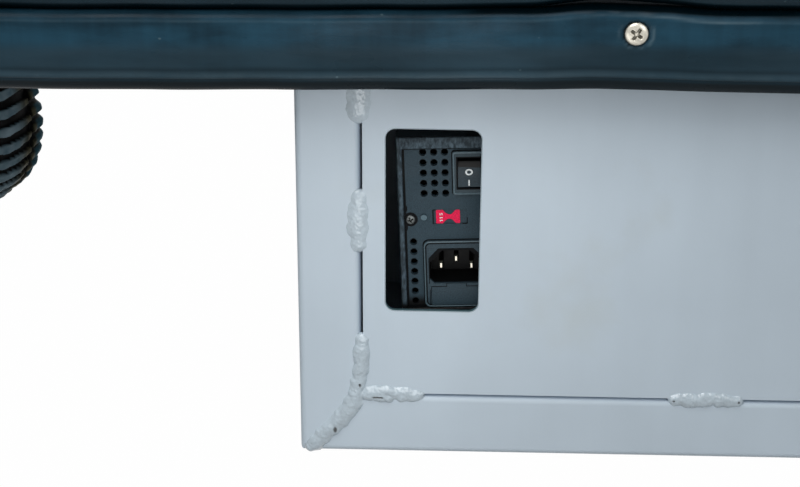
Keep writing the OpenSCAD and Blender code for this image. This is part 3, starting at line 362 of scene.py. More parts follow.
def piece(name, verts, faces, body, slot, stands_for=(), smooth=True, material=None):
    """A mesh piece that rides on a body and takes a slot's finish."""
    mesh = bpy.data.meshes.new(name)
    mesh.from_pydata([tuple(v) for v in verts], [], faces)
    mesh.validate()
    fix = bmesh.new()
    fix.from_mesh(mesh)
    bmesh.ops.recalc_face_normals(fix, faces=fix.faces)
    fix.to_mesh(mesh)
    fix.free()
    if smooth:
        mesh.polygons.foreach_set("use_smooth", [True] * len(mesh.polygons))
    mesh.materials.append(material or materials[slot])
    return placed(name, mesh, body, slot, stands_for)


def keep(made, name, values):
    """Stores one red, green and blue value at each point of a piece."""
    kept = made.data.color_attributes.new(name, "FLOAT_COLOR", "POINT")
    kept.data.foreach_set("color", [c for value in values for c in (*value, 1.0)])


def grid_faces(rows, columns, wrap_rows=True, wrap_columns=True):
    """Quads over a rows x columns grid of points, closed round where it wraps."""
    faces = []
    for i in range(rows if wrap_rows else rows - 1):
        for j in range(columns if wrap_columns else columns - 1):
            k, m = (i + 1) % rows, (j + 1) % columns
            faces.append((i * columns + j, k * columns + j, k * columns + m, i * columns + m))
    return faces


def dress(node, width):
    """A copy of a CAD node with its edges rounded, in the node's place."""
    mesh = nodes[node].data.copy()
    fix = bmesh.new()
    fix.from_mesh(mesh)
    bmesh.ops.remove_doubles(fix, verts=fix.verts, dist=1e-6)
    bmesh.ops.dissolve_limit(fix, angle_limit=math.radians(1), verts=fix.verts, edges=fix.edges)
    fix.to_mesh(mesh)
    fix.free()
    mesh.polygons.foreach_set("use_smooth", [False] * len(mesh.polygons))
    made = placed("dressed_" + node, mesh, body_of[node], slot_of[node], [node])
    bevel = made.modifiers.new("edges", "BEVEL")
    bevel.width = width
    bevel.segments = 2
    bevel.limit_method = "ANGLE"
    bevel.angle_limit = math.radians(40)


def smoothstep(low, high, value):
    """Eases from 0 to 1 as value goes from low to high, which may be the lesser."""
    t = min(1.0, max(0.0, (value - low) / (high - low)))
    return t * t * (3 - 2 * t)


def along(points, x):
    """Smooth curve through given (x, value) points, flat beyond its ends."""
    if x <= points[0][0]:
        return points[0][1]
    for (x0, v0), (x1, v1) in zip(points, points[1:]):
        if x <= x1:
            return v0 + (v1 - v0) * smoothstep(x0, x1, x)
    return points[-1][1]


def peak(value, middle, width):
    """1 at the middle, falling away smoothly within about two widths."""
    return math.exp(-((value - middle) / width) ** 2)


def refined(points, parts):
    """The line through the points with each stretch from a to b cut into parts(a, b)."""
    line = []
    for a, b in zip(points, points[1:]):
        count = parts(a, b)
        line += [tuple(a[k] + (b[k] - a[k]) * i / count for k in range(2)) for i in range(count)]
    return line + [points[-1]]


# ---------- bumper strips ----------
strip_low, strip_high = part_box("lower_bumper")
upper_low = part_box("upper_bumper")[0]
deck_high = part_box("deck_frame")[1]
STRIP_T = strip_high[0] - deck_high[0]
STRIP_H = strip_high[2] - strip_low[2]
CORNER_R = 31 * MM
SCREW_PITCH = 300 * MM
SIDE_SCREW = 0.3 * 2 * strip_high[1]
SCREW_UP = 25.6 * MM
SCREW_R = 5.15 * MM
SCREW_TALL = 1.9 * MM
SEAT = STRIP_T - SCREW_TALL
REAR_STEP = 3.5 * MM  # between places along the rear
SIDE_STEP = 7 * MM  # between places along the other sides
DENT_STEP = 1.1 * MM  # between places near a screw
DENT_REACH = 24 * MM  # how far off a screw that is
# Section of a strip: out from the skirt and up from the lower edge, in mm
SECTION = [
    (0, -1.3), (2.6, -1.6), (4.6, -1.4), (6.4, 0.6), (8.0, 3.5), (8.15, 4.1), (8.05, 4.45), (8.75, 4.7),
    (8.98, 5.3), (8.98, 6.2), (8.7, 7.2), (8.35, 8.4), (8.12, 10), (7.98, 12.5), (7.92, 15),
    (7.92, 17.5), (7.95, 20), (8.0, 22.5), (8.1, 24.5), (8.25, 26.2), (8.5, 27.6), (8.85, 28.8),
    (8.98, 29.8), (8.85, 30.7), (8.3, 31.7), (7.4, 32.6), (6.2, 33.4), (4.8, 34.0), (2.6, 34.3),
    (0, 34.0)]
# How the lower edge, and the gap between the strips, stray along the rear, in mm
LOW_EDGE = [
    (-500, 0), (-330, 0.6), (-200, 1.2), (-68, 1.8), (-36, 1.8), (-3, 2.2), (14, 2.3), (47, 1.3),
    (98, 0.2), (148, -0.8), (198, -1.8), (248, -2.5), (330, -2.7), (420, -1.4), (500, 0)]
GAP_EDGE = [
    (-500, 0), (-330, 0.8), (-200, 1.6), (-64, 1.9), (-33, 1.4), (-9, 2.4), (16, 2.9), (46, 0.7),
    (98, -0.6), (148, -1.7), (198, -2.5), (248, -3.4), (330, -3.2), (420, -1.6), (500, 0)]


def strip_stations():
    """Places round the skirt: x, y, outward x and y, and the signed distance to the nearest screw."""
    half_x, half_y = deck_high[:2]
    run_x, run_y = half_x - CORNER_R, half_y - CORNER_R
    places = []

    def run(start, end, normal, screws, step):
        length = (Vector(end) - Vector(start)).length
        reach = 0.0
        while reach < length - 0.1 * MM:
            at = Vector(start).lerp(Vector(end), reach / length)
            travel = at.x if normal[0] == 0 else at.y
            off = min((travel - screw for screw in screws), key=abs)
            places.append((at.x, at.y, normal[0], normal[1], off))
            reach += step if abs(off) > DENT_REACH else min(step, DENT_STEP)

    def corner(cx, cy, start):
        for i in range(10):
            turn = math.radians(start + 9 * i)
            out = (math.cos(turn), math.sin(turn))
            places.append((cx + CORNER_R * out[0], cy + CORNER_R * out[1], out[0], out[1], 1.0))

    long_screws = (-SCREW_PITCH, 0, SCREW_PITCH)
    side_screws = (-SIDE_SCREW, SIDE_SCREW)
    run((run_x, half_y), (-run_x, half_y), (0, 1), long_screws, REAR_STEP)
    corner(-run_x, run_y, 90)
    run((-half_x, run_y), (-half_x, -run_y), (-1, 0), side_screws, SIDE_STEP)
    corner(-run_x, -run_y, 180)
    run((-run_x, -half_y), (run_x, -half_y), (0, -1), long_screws, SIDE_STEP)
    corner(run_x, -run_y, 270)
    run((half_x, -run_y), (half_x, run_y), (1, 0), side_screws, SIDE_STEP)
    corner(run_x, run_y, 0)
    return places


def short_steps(a, b):
    """Parts of about 1 mm on the section's outer side, so that the dents round screws are smooth."""
    outside = a[0] > 4 and b[0] > 4
    return max(1, int(math.hypot(b[0] - a[0], b[1] - a[1]) + 0.3)) if outside else 1


def strip_shade(up, high, off, reach, lower, seen):
    """Painted shade (black), painted highlight (pale) and grey shares, from mm up the section, over its edge and
    off the nearest screw.
    """
    # Black is painted shade: the lower bevel facing down, the gap between the strips, the upper strip a little all
    # over, and the seat round each screw
    if lower:
        black = 0.86 * smoothstep(4.3, 2.8, up) + 0.45 * peak(up, 4.35, 0.3)
        black += 0.45 * peak(up, 8.2, 0.7) + 0.42 * smoothstep(30.4, 31.2, up)
        black += seen * smoothstep(31.9, 32.7, up) + 0.9 * smoothstep(33.6, 34.2, up)
    else:
        black = 0.97 * smoothstep(1.0, 0.4, up) + 0.18
    black = max(black, 0.9 * smoothstep(5.9, 5.4, reach))
    # Pale is painted highlight: the ridge, the lip and the rubber bulging round each screw, brightest on its lit
    # side
    ridge = peak(up - 30.0, 1.2 * peak(off, 0, 18), 0.55)
    pale = 0.16 * peak(up, 5.9, 1.3)
    pale += (0.18 + 0.5 * seen * smoothstep(32, 22, abs(off + 22))) * ridge
    turn = math.cos(math.atan2(high - SCREW_UP / MM, -off) + 0.1)
    lit = smoothstep(0.7, 0.97, turn) + 0.35 * smoothstep(-0.8, -1, turn)
    pale += 0.62 * peak(reach, 7.1, 0.55) * lit
    pale += 0.25 * peak(reach, 6.2, 0.4) * smoothstep(24, 20, high)
    # Grey makes the lower face greyer
    grey = 0.8 * smoothstep(22, 15, up)
    return min(1.0, black), min(1.0, pale if lower else pale * 0.4), grey


def strip(name, base_z, low_edge, high_edge, node, lower):
    """A strip round the skirt, dented at its screws, whose edges stray along the rear."""
    stations, section = strip_stations(), refined(SECTION, short_steps)
    verts, shades = [], []
    for x, y, nx, ny, off in stations:
        rear = smoothstep(0.5, 1.0, ny)
        lift_low = along(low_edge, x / MM) * MM * rear
        lift_high = along(high_edge, x / MM) * MM * rear
        off /= MM
        seen = smoothstep(90, 45, abs(x / MM)) * rear
        if not lower:
            lift_low += 1.7 * MM * peak(off, 8, 34) * rear
        for out, up in section:
            share = up * MM / STRIP_H
            z = up * MM + lift_low * (1 - share) + lift_high * share
            high = z / MM
            reach = math.hypot(off, high - SCREW_UP / MM)
            if out > 4:
                ripple = noise.noise(Vector((x * 9, y * 9, up * 0.05))) * 0.5
                out += min(0.0, ripple - 0.15)
                pinch = peak(off, 0, 20) * smoothstep(20, 31, up)
                out -= 1.1 * peak(reach, 0, 9.5)
                out -= 0.8 * pinch * (0.6 + 0.4 * math.cos(off * 0.5))
                out += 0.4 * peak(reach, 7.1, 0.9)
                seat = smoothstep(6.2, 5.3, reach)
                out = out * (1 - seat) + min(out, SEAT / MM - 0.1) * seat
                out = min(out, STRIP_T / MM)
            verts.append((x + nx * out * MM, y + ny * out * MM, base_z + z))
            shades.append(strip_shade(up, high, off, reach, lower, seen))
    made = piece(name, verts, grid_faces(len(stations), len(section)), "cart", "bumper_rubber", [node])
    keep(made, "tread_wear_and_painted_light", shades)


strip("lower_strip", strip_low[2], LOW_EDGE, GAP_EDGE, "lower_bumper", True)
strip("upper_strip", upper_low[2], GAP_EDGE, [(-500, 0), (500, 0)], "upper_bumper", False)


# ---------- screws ----------
def screw_head(radius, height, turn):
    """Points, faces and shares of painted shade in the cross recess of a pan head, out along +Z from z = 0."""
    rings, spokes = 18, 48
    arm, width = 0.52 * radius, 0.09 * radius

    def slit(run, off):
        return (smoothstep(width * 1.7, width * 0.9, abs(off))
                * smoothstep(arm * 1.1, arm * 0.9, abs(run)))

    verts, dark = [(0, 0, height * 0.45)], [0.0]
    for i in range(1, rings + 1):
        r = radius * i / rings
        for j in range(spokes):
            a = 2 * math.pi * j / spokes
            x, y = r * math.cos(a), r * math.sin(a)
            u = x * math.cos(turn) + y * math.sin(turn)
            v = -x * math.sin(turn) + y * math.cos(turn)
            dome = height * math.sqrt(max(0.0, 1 - (r / radius) ** 3.2))
            cross = max(slit(v, u), slit(u, v))
            depth = height * (0.55 + 0.35 * min(1.0, r / arm)) if r < arm * 1.15 else 0.0
            verts.append((x, y, max(0.0, dome - depth * cross)))
            # Painted shade in the recess arms, leaving the middle bright
            dark.append(0.8 * cross * smoothstep(0.1, 0.45, r / arm))
    faces = [(0, 1 + j, 1 + (j + 1) % spokes) for j in range(spokes)]
    faces += [tuple(1 + k for k in f) for f in grid_faces(rings, spokes, False)]
    faces.append(tuple(1 + (rings - 1) * spokes + j for j in range(spokes))[::-1])
    return verts, faces, dark


def screws(name, places, body, slot, node, turns=None):
    """Many heads in one piece; a place is (point, direction, radius, height)."""
    rng = random.Random(5)
    verts, faces, shades = [], [], []
    for k, (point, direction, radius, height) in enumerate(places):
        angle = rng.uniform(0, math.pi)
        head, sides, dark = screw_head(radius, height, (turns or {}).get(k, angle))
        turn = Vector((0, 0, 1)).rotation_difference(Vector(direction)).to_matrix()
        base = len(verts)
        verts += [turn @ Vector(v) + Vector(point) for v in head]
        faces += [tuple(i + base for i in f) for f in sides]
        shades += [(share, 0.0, 0.0) for share in dark]
    keep(piece(name, verts, faces, body, slot, [node]), "painted_recess_shade", shades)


def bumper_screw_places():
    """Six heads along each long side, and four at each end, lower strip first."""
    places = []
    for z in (strip_low[2] + SCREW_UP, upper_low[2] + SCREW_UP):
        for s in (-1, 1):
            for x in (-SCREW_PITCH, 0, SCREW_PITCH):
                places.append(((x, s * (deck_high[1] + SEAT), z), (0, s, 0)))
            for y in (-SIDE_SCREW, SIDE_SCREW):
                places.append(((s * (deck_high[0] + SEAT), y, z), (s, 0, 0)))
    return [(point, out, SCREW_R, SCREW_TALL) for point, out in places]


SEEN_SCREW = 6  # place in the list of the screw in the middle of the lower strip's rear
screws("strip_screws", bumper_screw_places(), "cart", "screw_steel", "bumper_screws",
       {SEEN_SCREW: math.radians(57)})


# ---------- tyres ----------
LUGS = 36
TYRE_R = 75 * MM
TREAD_START = 0.485
LOBE_START = 0.935
SWEEP = 0.021  # lug pitches that a lug leans per mm across
SHOULDER = 24.6  # mm across where the crown lugs end
# Half of the tyre's section: across and radius, in mm, from the bead to the crown
CARCASS = [
    (29.6, 48.2), (33.4, 49.6), (35.7, 52), (36.8, 54.6), (36.9, 57.2), (36.6, 59.4), (35.9, 61.4),
    (34.2, 63.0), (31.4, 64.4), (28, 65.4), (25.8, 66), (24.6, 66.4), (21.5, 67.6), (19, 68.6),
    (16, 69.5), (12, 70.3), (8, 70.75), (4, 70.95), (0, 71)]
WIDEST = 39.4  # mm across at the lobes of the shoulder


def lug(turns, across):
    """Height share of the tread, for a place given in lug pitches round and mm across."""
    off = abs(across)
    swept = turns - SWEEP * math.sqrt(off * off + 4)
    if off < SHOULDER:
        phase = swept % 1.0
        end = 0.63 - 0.006 * off
        flanks = smoothstep(0.0, 0.09, phase) * smoothstep(end, end - 0.09, phase)
        return flanks * smoothstep(SHOULDER, 23.9, off)
    phase = (swept + LOBE_START) % 1.0
    return smoothstep(24.9, 25.9, off) * smoothstep(0.0, 0.2, phase) * smoothstep(0.92, 0.45, phase)


def tyre(name, node, samples, parts, axle, centre):
    """A tread of some samples to a lug and parts to a stretch of section, round the axle's line."""
    half = refined(CARCASS, lambda a, b: parts)
    section = half + [(-w, r) for w, r in reversed(half[:-1])]
    last = len(section) - 1
    outward = []
    for k in range(len(section)):
        a, b = section[max(0, k - 1)], section[min(last, k + 1)]
        run = Vector((b[0] - a[0], b[1] - a[1])).normalized()
        outward.append((run.y, run.x))
    count = LUGS * samples
    turn = Vector((0, 1, 0)).rotation_difference(Vector(axle)).to_matrix()
    verts, shades = [], []
    for i in range(count):
        around = 2 * math.pi * i / count
        for (w, r), (nw, nr) in zip(section, outward):
            rise = lug(i / samples + TREAD_START, w)
            shoulder = smoothstep(50, 56, r)
            tread_wear_and_painted_light = 0.22 * noise.noise(Vector((math.cos(around) * 9, w * 0.25, math.sin(around) * 9)))
            crown = abs(w) < SHOULDER
            height = rise * shoulder * (4.0 if crown else 3.7) * (1 + tread_wear_and_painted_light)
            radius = min(r + height * (1.0 if crown else abs(nr)), TYRE_R / MM) * MM
            aside = 0.0 if crown else height * math.copysign(abs(nw), w)
            place = max(-WIDEST, min(WIDEST, w + aside)) * MM
            verts.append(turn @ Vector((radius * math.cos(around), place, -radius * math.sin(around)))
                         + Vector(centre))
            # Red: lug tops keep their colour and the grooves go black as painted shade; green: grime across; blue:
            # rim colour at edges and bead
            edge = smoothstep(27.5, 31.0, abs(w)) * smoothstep(0.1, 0.6, rise)
            bead = smoothstep(56, 52, r)
            shades.append((max(smoothstep(0.55, 0.95, rise), bead * 0.4, edge),
                           smoothstep(7, 21, abs(w)), max(edge, bead)))
    made = piece(name, verts, grid_faces(count, len(section)), body_of[node], "tyre_rubber", [node])
    keep(made, "tread", shades)


def build_tyres():
    """The treads, finer on the one tyre in view."""
    joints = {joint["child"]: joint for joint in frame["joints"]}
    for name in ("front_right", "front_left", "rear_left", "rear_right"):
        node = name + "_tyre"
        joint = joints[body_of[node]]
        way = -1 if name.startswith("rear") else 1
        samples, parts = (18, 4) if name == "front_right" else (12, 2)
        tyre(name + "_tread", node, samples, parts, [way * a for a in joint["axis"]], joint["pos_m"])


build_tyres()


# ---------- weld beads ----------
box_low, box_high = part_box("power_box_frame")
FACE_Y = box_high[1]
SEAM_X = box_high[0] - 28.45 * MM
SEAM_Z = box_low[2] + 29.35 * MM
# Lobes of the beads: x and z of both ends, half width and height, in mm from the panel's seam corner
LOBES = [
    (0.4, 138.5, -0.2, 147.5, 5.2, 1.2), (0.3, 141, 1.0, 136.5, 3.4, 1.0),
    (0.6, 75.5, 0.2, 84, 3.6, 1.2), (0.9, 82, 0.7, 92, 4.6, 1.5), (0.5, 91, 0.2, 97.5, 3.4, 1.1),
    (-0.6, 21, -0.8, 27, 3.2, 1.5), (-0.4, 12, -0.6, 23, 3.8, 1.9), (0.6, 5, 0, 13, 3.4, 1.5),
    (2.2, -1.5, 1.8, 6, 3.3, 1.5), (3.2, -6, 2.2, 0, 3.7, 1.8), (6.0, -9.5, 3.4, -4.5, 4.4, 1.9),
    (9.6, -14, 6.4, -9.4, 4.6, 2.1), (13.4, -18.4, 10.4, -14.6, 4.3, 2.1),
    (17.8, -22, 14.2, -18.8, 4.1, 2.0), (21.6, -27.2, 17.4, -22.4, 3.9, 1.9),
    (24.0, -28.8, 21, -26.6, 2.6, 1.5), (-3, -0.6, -11, -1.2, 3.2, 1.5),
    (-4, 0.8, -13.5, 1.6, 2.9, 1.5), (-9, -1.8, -13, -2.4, 2.6, 1.4), (-15, 0.6, -22, 0.3, 3.2, 1.2),
    (-19, -1.6, -25, -1.2, 2.7, 1.1), (-24, 0.2, -27.4, -0.4, 2.2, 0.9)]
# The short bead in the middle of the panel's lower edge, from the box's middle
STITCH = [
    (-30.5, -0.2, -38, 0.2, 2.9, 1.3), (-36, -0.8, -46, -0.6, 3.3, 1.5), (-44, 0.6, -53, 0.3, 3.0, 1.3),
    (-51, -0.8, -59.5, -0.4, 3.0, 1.3)]
# Pores: middle, half width and height, and how deep
PORES = [
    (0.2, 4.6, 0.55, 0.9, 1.6), (-8.2, -1.5, 2.7, 0.5, 1.1), (11.9, -18.6, 0.9, 1.7, 0.7),
    (-30, -0.6, 0.6, 0.5, 0.8), (-60.4, -0.6, 0.6, 0.6, 0.9)]
FEATHER = -20  # lobes that end further in than this are left off the mirrored bead
CELL = 0.42  # mm between the points of a bead's sheet
MARGIN = 7  # mm of sheet beyond the lobes, before it is trimmed
UNDER = -1.6  # mm, the height of the sheet's back
# noise_vector shifts its field by a draw of its own, so the draw is seeded here
noise.seed_set(1)


def bead_height(x, z, lobes, seed):
    """Height over the panel, in mm, of lobes that run into each other."""
    warp = noise.noise_vector(Vector((x * 0.28, z * 0.28, seed)))
    fine = noise.noise_vector(Vector((x * 0.9, z * 0.9, seed)))
    px, pz = x + 0.75 * warp.x + 0.2 * fine.x, z + 0.75 * warp.y + 0.2 * fine.y
    total = -4.0
    for ax, az, bx, bz, half, tall in lobes:
        run = Vector((bx - ax, bz - az))
        share = min(1.0, max(0.0, ((px - ax) * run.x + (pz - az) * run.y) / run.length_squared))
        off = math.hypot(px - ax - share * run.x, pz - az - share * run.y)
        height = max(tall * (1.15 - 1.15 * (off / half) ** 2.2), -4.0)
        total = 0.5 * (total + height + math.sqrt((total - height) ** 2 + 0.06))
    return total + 0.3 * fine.z * smoothstep(0, 1.2, total)


def weld_piece(name, lobes, side, start_x):
    """Raised paint over the lobes, as a closed sheet that dips under the panel at its edge."""
    low_x, high_x = (f(f(l[0], l[2]) for l in lobes) for f in (min, max))
    low_z, high_z = (f(f(l[1], l[3]) for l in lobes) for f in (min, max))
    columns = int((high_x - low_x + 2 * MARGIN) / CELL)
    rows = int((high_z - low_z + 2 * MARGIN) / CELL)
    sheet = {}
    for i in range(columns + 1):
        for j in range(rows + 1):
            x, z = low_x - MARGIN + i * CELL, low_z - MARGIN + j * CELL
            pore = 0.0
            for px, pz, rx, rz, deep in PORES if side > 0 else ():
                off = math.hypot((x - px) / rx, (z - pz) / rz)
                pore = max(pore, smoothstep(1.25, 0.6, off) * deep)
            height = bead_height(x, z, lobes, 3.0 if side > 0 else 8.0) - pore * 0.6
            # The last value is painted shade, dark in the pores
            sheet[i, j] = (x, z, max(height, UNDER + 0.1), min(1.0, pore * 1.4))
    kept = [(i, j) for i in range(columns) for j in range(rows)
            if max(sheet[i + a, j + b][2] for a in (0, 1) for b in (0, 1)) > -0.35]
    verts, faces, shades, index = [], [], [], {}

    def point(i, j, top):
        if (i, j, top) not in index:
            x, z, height, pit_shade = sheet[i, j]
            index[i, j, top] = len(verts)
            lift = height if top else UNDER
            verts.append((start_x + side * x * MM, FACE_Y + lift * MM, SEAM_Z + z * MM))
            shades.append((pit_shade, 0, 0))
        return index[i, j, top]

    cells = set(kept)
    for i, j in kept:
        ring = [(i, j), (i + 1, j), (i + 1, j + 1), (i, j + 1)]
        faces.append([point(*c, True) for c in ring])
        faces.append([point(*c, False) for c in reversed(ring)])
        for k, beside in enumerate(((i, j - 1), (i + 1, j), (i, j + 1), (i - 1, j))):
            if beside not in cells:
                a, b = ring[k], ring[(k + 1) % 4]
                faces.append([point(*a, True), point(*a, False), point(*b, False), point(*b, True)])
    keep(piece(name, verts, faces, "cart", "weld", ["weld_beads"]), "painted_recess_shade", shades)


def build_welds():
    for side, word in ((1, "plus"), (-1, "minus")):
        lobes = [lobe for lobe in LOBES if side > 0 or lobe[2] > FEATHER]
        weld_piece("weld_" + word, lobes, side, side * SEAM_X)
    weld_piece("weld_stitch", STITCH, 1, 0)


build_welds()


# ---------- power box ----------
FOOT = 6 * MM  # height of the part of the box that is drawn down
FOOT_DROP = 1.8 * MM
ROLL_DEPTH = 11 * MM  # the rolled edge round the panel darkens down to this depth


def build_box_skin():
    """The box's frame with its foot drawn a little lower, and painted shade where its edge rolls in."""
    mesh = nodes["power_box_frame"].data.copy()
    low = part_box("power_box_frame")[0][2]
    shades = []
    for v in mesh.vertices:
        if v.co.z < low + FOOT:
            v.co.z -= FOOT_DROP * smoothstep(low + FOOT, low + 2.5 * MM, v.co.z)
        # Painted shade: the rolled edge is darker, most of all along the panel's lower seam
        sunk = FACE_Y - v.co.y
        inside = abs(v.co.x) < SEAM_X + 4 * MM and v.co.z > SEAM_Z - 6 * MM
        dark = 0.9 if v.co.z < SEAM_Z + 1 * MM else 0.5
        dark *= smoothstep(0.1 * MM, 2 * MM, sunk)
        shades.append((dark * inside * (sunk < ROLL_DEPTH), 0, 0))
    mesh.update()
    made = placed("box_skin", mesh, "cart", "box_paint", ["power_box_frame"])
    keep(made, "tread_wear_and_painted_light", shades)


build_box_skin()

# ---------- power unit ----------
UNIT_TILT = math.radians(2.3)
UNIT_AT = Vector((72.85, 253.0, 147.3)) * MM


def in_unit(x, y, z):
    """The frame's point for one of the tilted power unit, given in mm."""
    turn = Matrix.Rotation(UNIT_TILT, 3, "Y")
    return turn @ (Vector((x, y, z)) * MM) + UNIT_AT


white = moulded("mark_white", srgb(222, 228, 228), 0.4, 0.05)
# The bezel goes black towards its bottom: painted shadow
speckled = powder("bezel_powder", srgb(62, 77, 86), ("Z", 0.1270, 0.1255))
# Black for thin sheets that stand in for shadow lines, dark mouths and shade in recesses: painted shadow
painted_shadow_black = moulded("painted_shadow_black", srgb(4, 6, 8), 0.6, 0.05, shine=0.1)
dot_blue = moulded("dot_blue", srgb(58, 86, 97), 0.35, 0.05)
# A lighter plastic for bevelled rims: painted highlight
painted_edge_highlight = moulded("painted_edge_highlight", srgb(74, 93, 101), 0.35, 0.1, shine=0.3)


def rounded(x0, x1, z0, z1, r, spokes=5):
    """Points of a rectangle with round corners."""
    points = []
    corners = ((x1 - r, z1 - r), (x0 + r, z1 - r), (x0 + r, z0 + r), (x1 - r, z0 + r))
    for k, (cx, cz) in enumerate(corners):
        for i in range(spokes + 1):
            turn = math.radians(90 * k + 90 * i / spokes)
            points.append((cx + r * math.cos(turn), cz + r * math.sin(turn)))
    return points


def outlines(x0, x1, z0, z1):
    """Gives a function that draws this box's outline in by an inset and rounds its corners."""
    def loop(inset, r, inset_top=None):
        top = inset if inset_top is None else inset_top
        return rounded(x0 + inset, x1 - inset, z0 + inset, z1 - top, r)
    return loop


def circle(x, z, r, squash=1.0, spokes=32):
    """Points of a circle, or of an oval as high as squash times its width."""
    turns = [2 * math.pi * i / spokes for i in range(spokes)]
    return [(x + r * math.cos(a), z + r * squash * math.sin(a)) for a in turns]


def moulding(name, loops, slot, material, place=in_unit):
    """A closed ring through loops of (x, z) points at their heights, each as long as the others."""
    verts = [place(x, y, z) for points, y in loops for x, z in points]
    faces = grid_faces(len(loops), len(loops[0][0]))
    return piece(name, verts, faces, "cart", slot, (), False, material)


def dark_band(name, first, second, low, high, slot="unit_case"):
    """A line of painted shade, in black, between two outlines, from height low to height high."""
    moulding(name, [(first, low), (first, high), (second, high), (second, low)], slot, painted_shadow_black)


def plate(name, points, low, high, body="cart", slot="unit_case", stands_for=(), material=None):
    """A flat piece of the outline's shape from height low to height high."""
    count = len(points)
    verts = [in_unit(x, y, z) for y in (low, high) for x, z in points]
    faces = [tuple(range(count))[::-1], tuple(range(count, 2 * count))]
    faces += [(i, (i + 1) % count, count + (i + 1) % count, count + i) for i in range(count)]
    return piece(name, verts, faces, body, slot, stands_for, False, material)


BAR_FACES = ((0, 3, 2, 1), (4, 5, 6, 7), (0, 1, 5, 4), (1, 2, 6, 5), (2, 3, 7, 6), (3, 0, 4, 7))


def bars(name, spans, low, high, body, slot, material, place):
    """Flat bars in one piece, each (x0, x1, z0, z1), from height low to height high."""
    verts, faces = [], []
    for x0, x1, z0, z1 in spans:
        base = len(verts)
        verts += [place(x, y, z) for y in (low, high)
                  for x, z in ((x0, z0), (x1, z0), (x1, z1), (x0, z1))]
        faces += [tuple(base + i for i in f) for f in BAR_FACES]
    piece(name, verts, faces, body, slot, (), False, material)


def build_window_edge():
    """The window's cut edge, rounded over, in a darker teal that is partly primer and partly painted shade."""
    x0, x1, z0, z1, corner = 62.55, 104.95, 127.5, 214.9, 4.5
    face = FACE_Y / MM
    loops = [(rounded(x0 - g, x1 + g, z0 - g, z1 + g, corner + g, 8), face + out) for g, out in
             ((-0.1, -2.0), (-0.1, -0.4), (0.05, -0.1), (0.2, 0.03), (0.32, 0.0), (0.3, -0.4))]
    # Darker teal: primer on the cut edge, and painted shade
    primer_and_shade = moulded("window_edge_paint", srgb(66, 92, 98), 0.4, 0.1, shine=0.3)
    moulding("window_edge", loops, "box_paint", primer_and_shade, lambda x, y, z: Vector((x, y, z)) * MM)


VENT_PITCH = 4.91


def build_bezel():
    """The housing's speckled bezel with painted shade at its edges, the painted shadow line inside it, and painted
    shade round the vents.
    """
    loop = outlines(25.8 - 150, 25.8, 61.2 - 86, 61.2)
    side, above, line = 2.5, 5.6, 1.05
    outer, inner = loop(0, 0.9), loop(side, 0.4, above)
    skin = moulding("bezel_skin", [(outer, 0.6), (outer, 1.55), (loop(0.5, 0.8), 2.0),
                                   (loop(side - 0.45, 0.5, above - 0.45), 2.0),
                                   (inner, 1.6), (inner, 0.1)], "unit_case", speckled)
    count = len(skin.data.vertices) // 6
    # Painted shade: the skin goes black at its outer and inner edges
    keep(skin, "tread_wear_and_painted_light", [(share, 0, 0) for share in (1, 0.85, 0.35, 0, 0.3, 1) for _ in range(count)])
    dark_band("bezel_shadow_line", inner, loop(side + line, 0.4, above + 0.75 * line), 0.0, 0.06)
    for k, z in enumerate((26.6, 17.3)):
        plate("shadow_notch_%d" % k, circle(22.4, z, 0.7, 2.4, 28), 0.0, 0.08, material=painted_shadow_black)
    places = [(13.9 - VENT_PITCH * i, 53.4 - VENT_PITCH * j) for i in range(3) for j in range(5)]
    places += [(19.4, 10.3 - VENT_PITCH * j) for j in range(7)]
    for k, (x, z) in enumerate(places):
        dark_band("vent_rim_%02d" % k, circle(x, z, 1.46, 1.04), circle(x, z, 1.66, 1.04), -0.4, 0.03)


def build_switch():
    """The painted shadow round the rocker switch, its rim in painted highlight and the mouth of its frame in
    painted shade.
    """
    x, z, w, h = -6.8, 43.6, 14.8, 20.5
    loop = outlines(x - w / 2, x + w / 2, z - h / 2, z + h / 2)
    dark_band("switch_shadow", loop(-0.55, 1.5), loop(0.2, 1), 0.0, 0.06, "switch_plastic")
    moulding("switch_rim", [(loop(0, 1), 0.8), (loop(0, 1), 1.55), (loop(0.35, 0.8), 1.8),
                            (loop(0.7, 0.6), 1.8), (loop(0.95, 0.5), 1.42), (loop(1.0, 0.5), 0.8)],
             "switch_plastic", painted_edge_highlight)
    inner = rounded(x - 5.9, x + 5.9, z - 7.85, z + 7.85, 0.4)
    opening = rounded(x - 5.35, x + 5.35, z - 7.3, z + 7.3, 0.2)
    moulding("switch_mouth", [(inner, 1.3), (inner, 1.46), (opening, 1.46), (opening, 0.4)],
             "switch_plastic", painted_shadow_black)


UPPER_SLOPE, LOWER_SLOPE = 0.196, 1.1 / 4.2  # of the rocker's two halves
MARK_TALL = 0.12


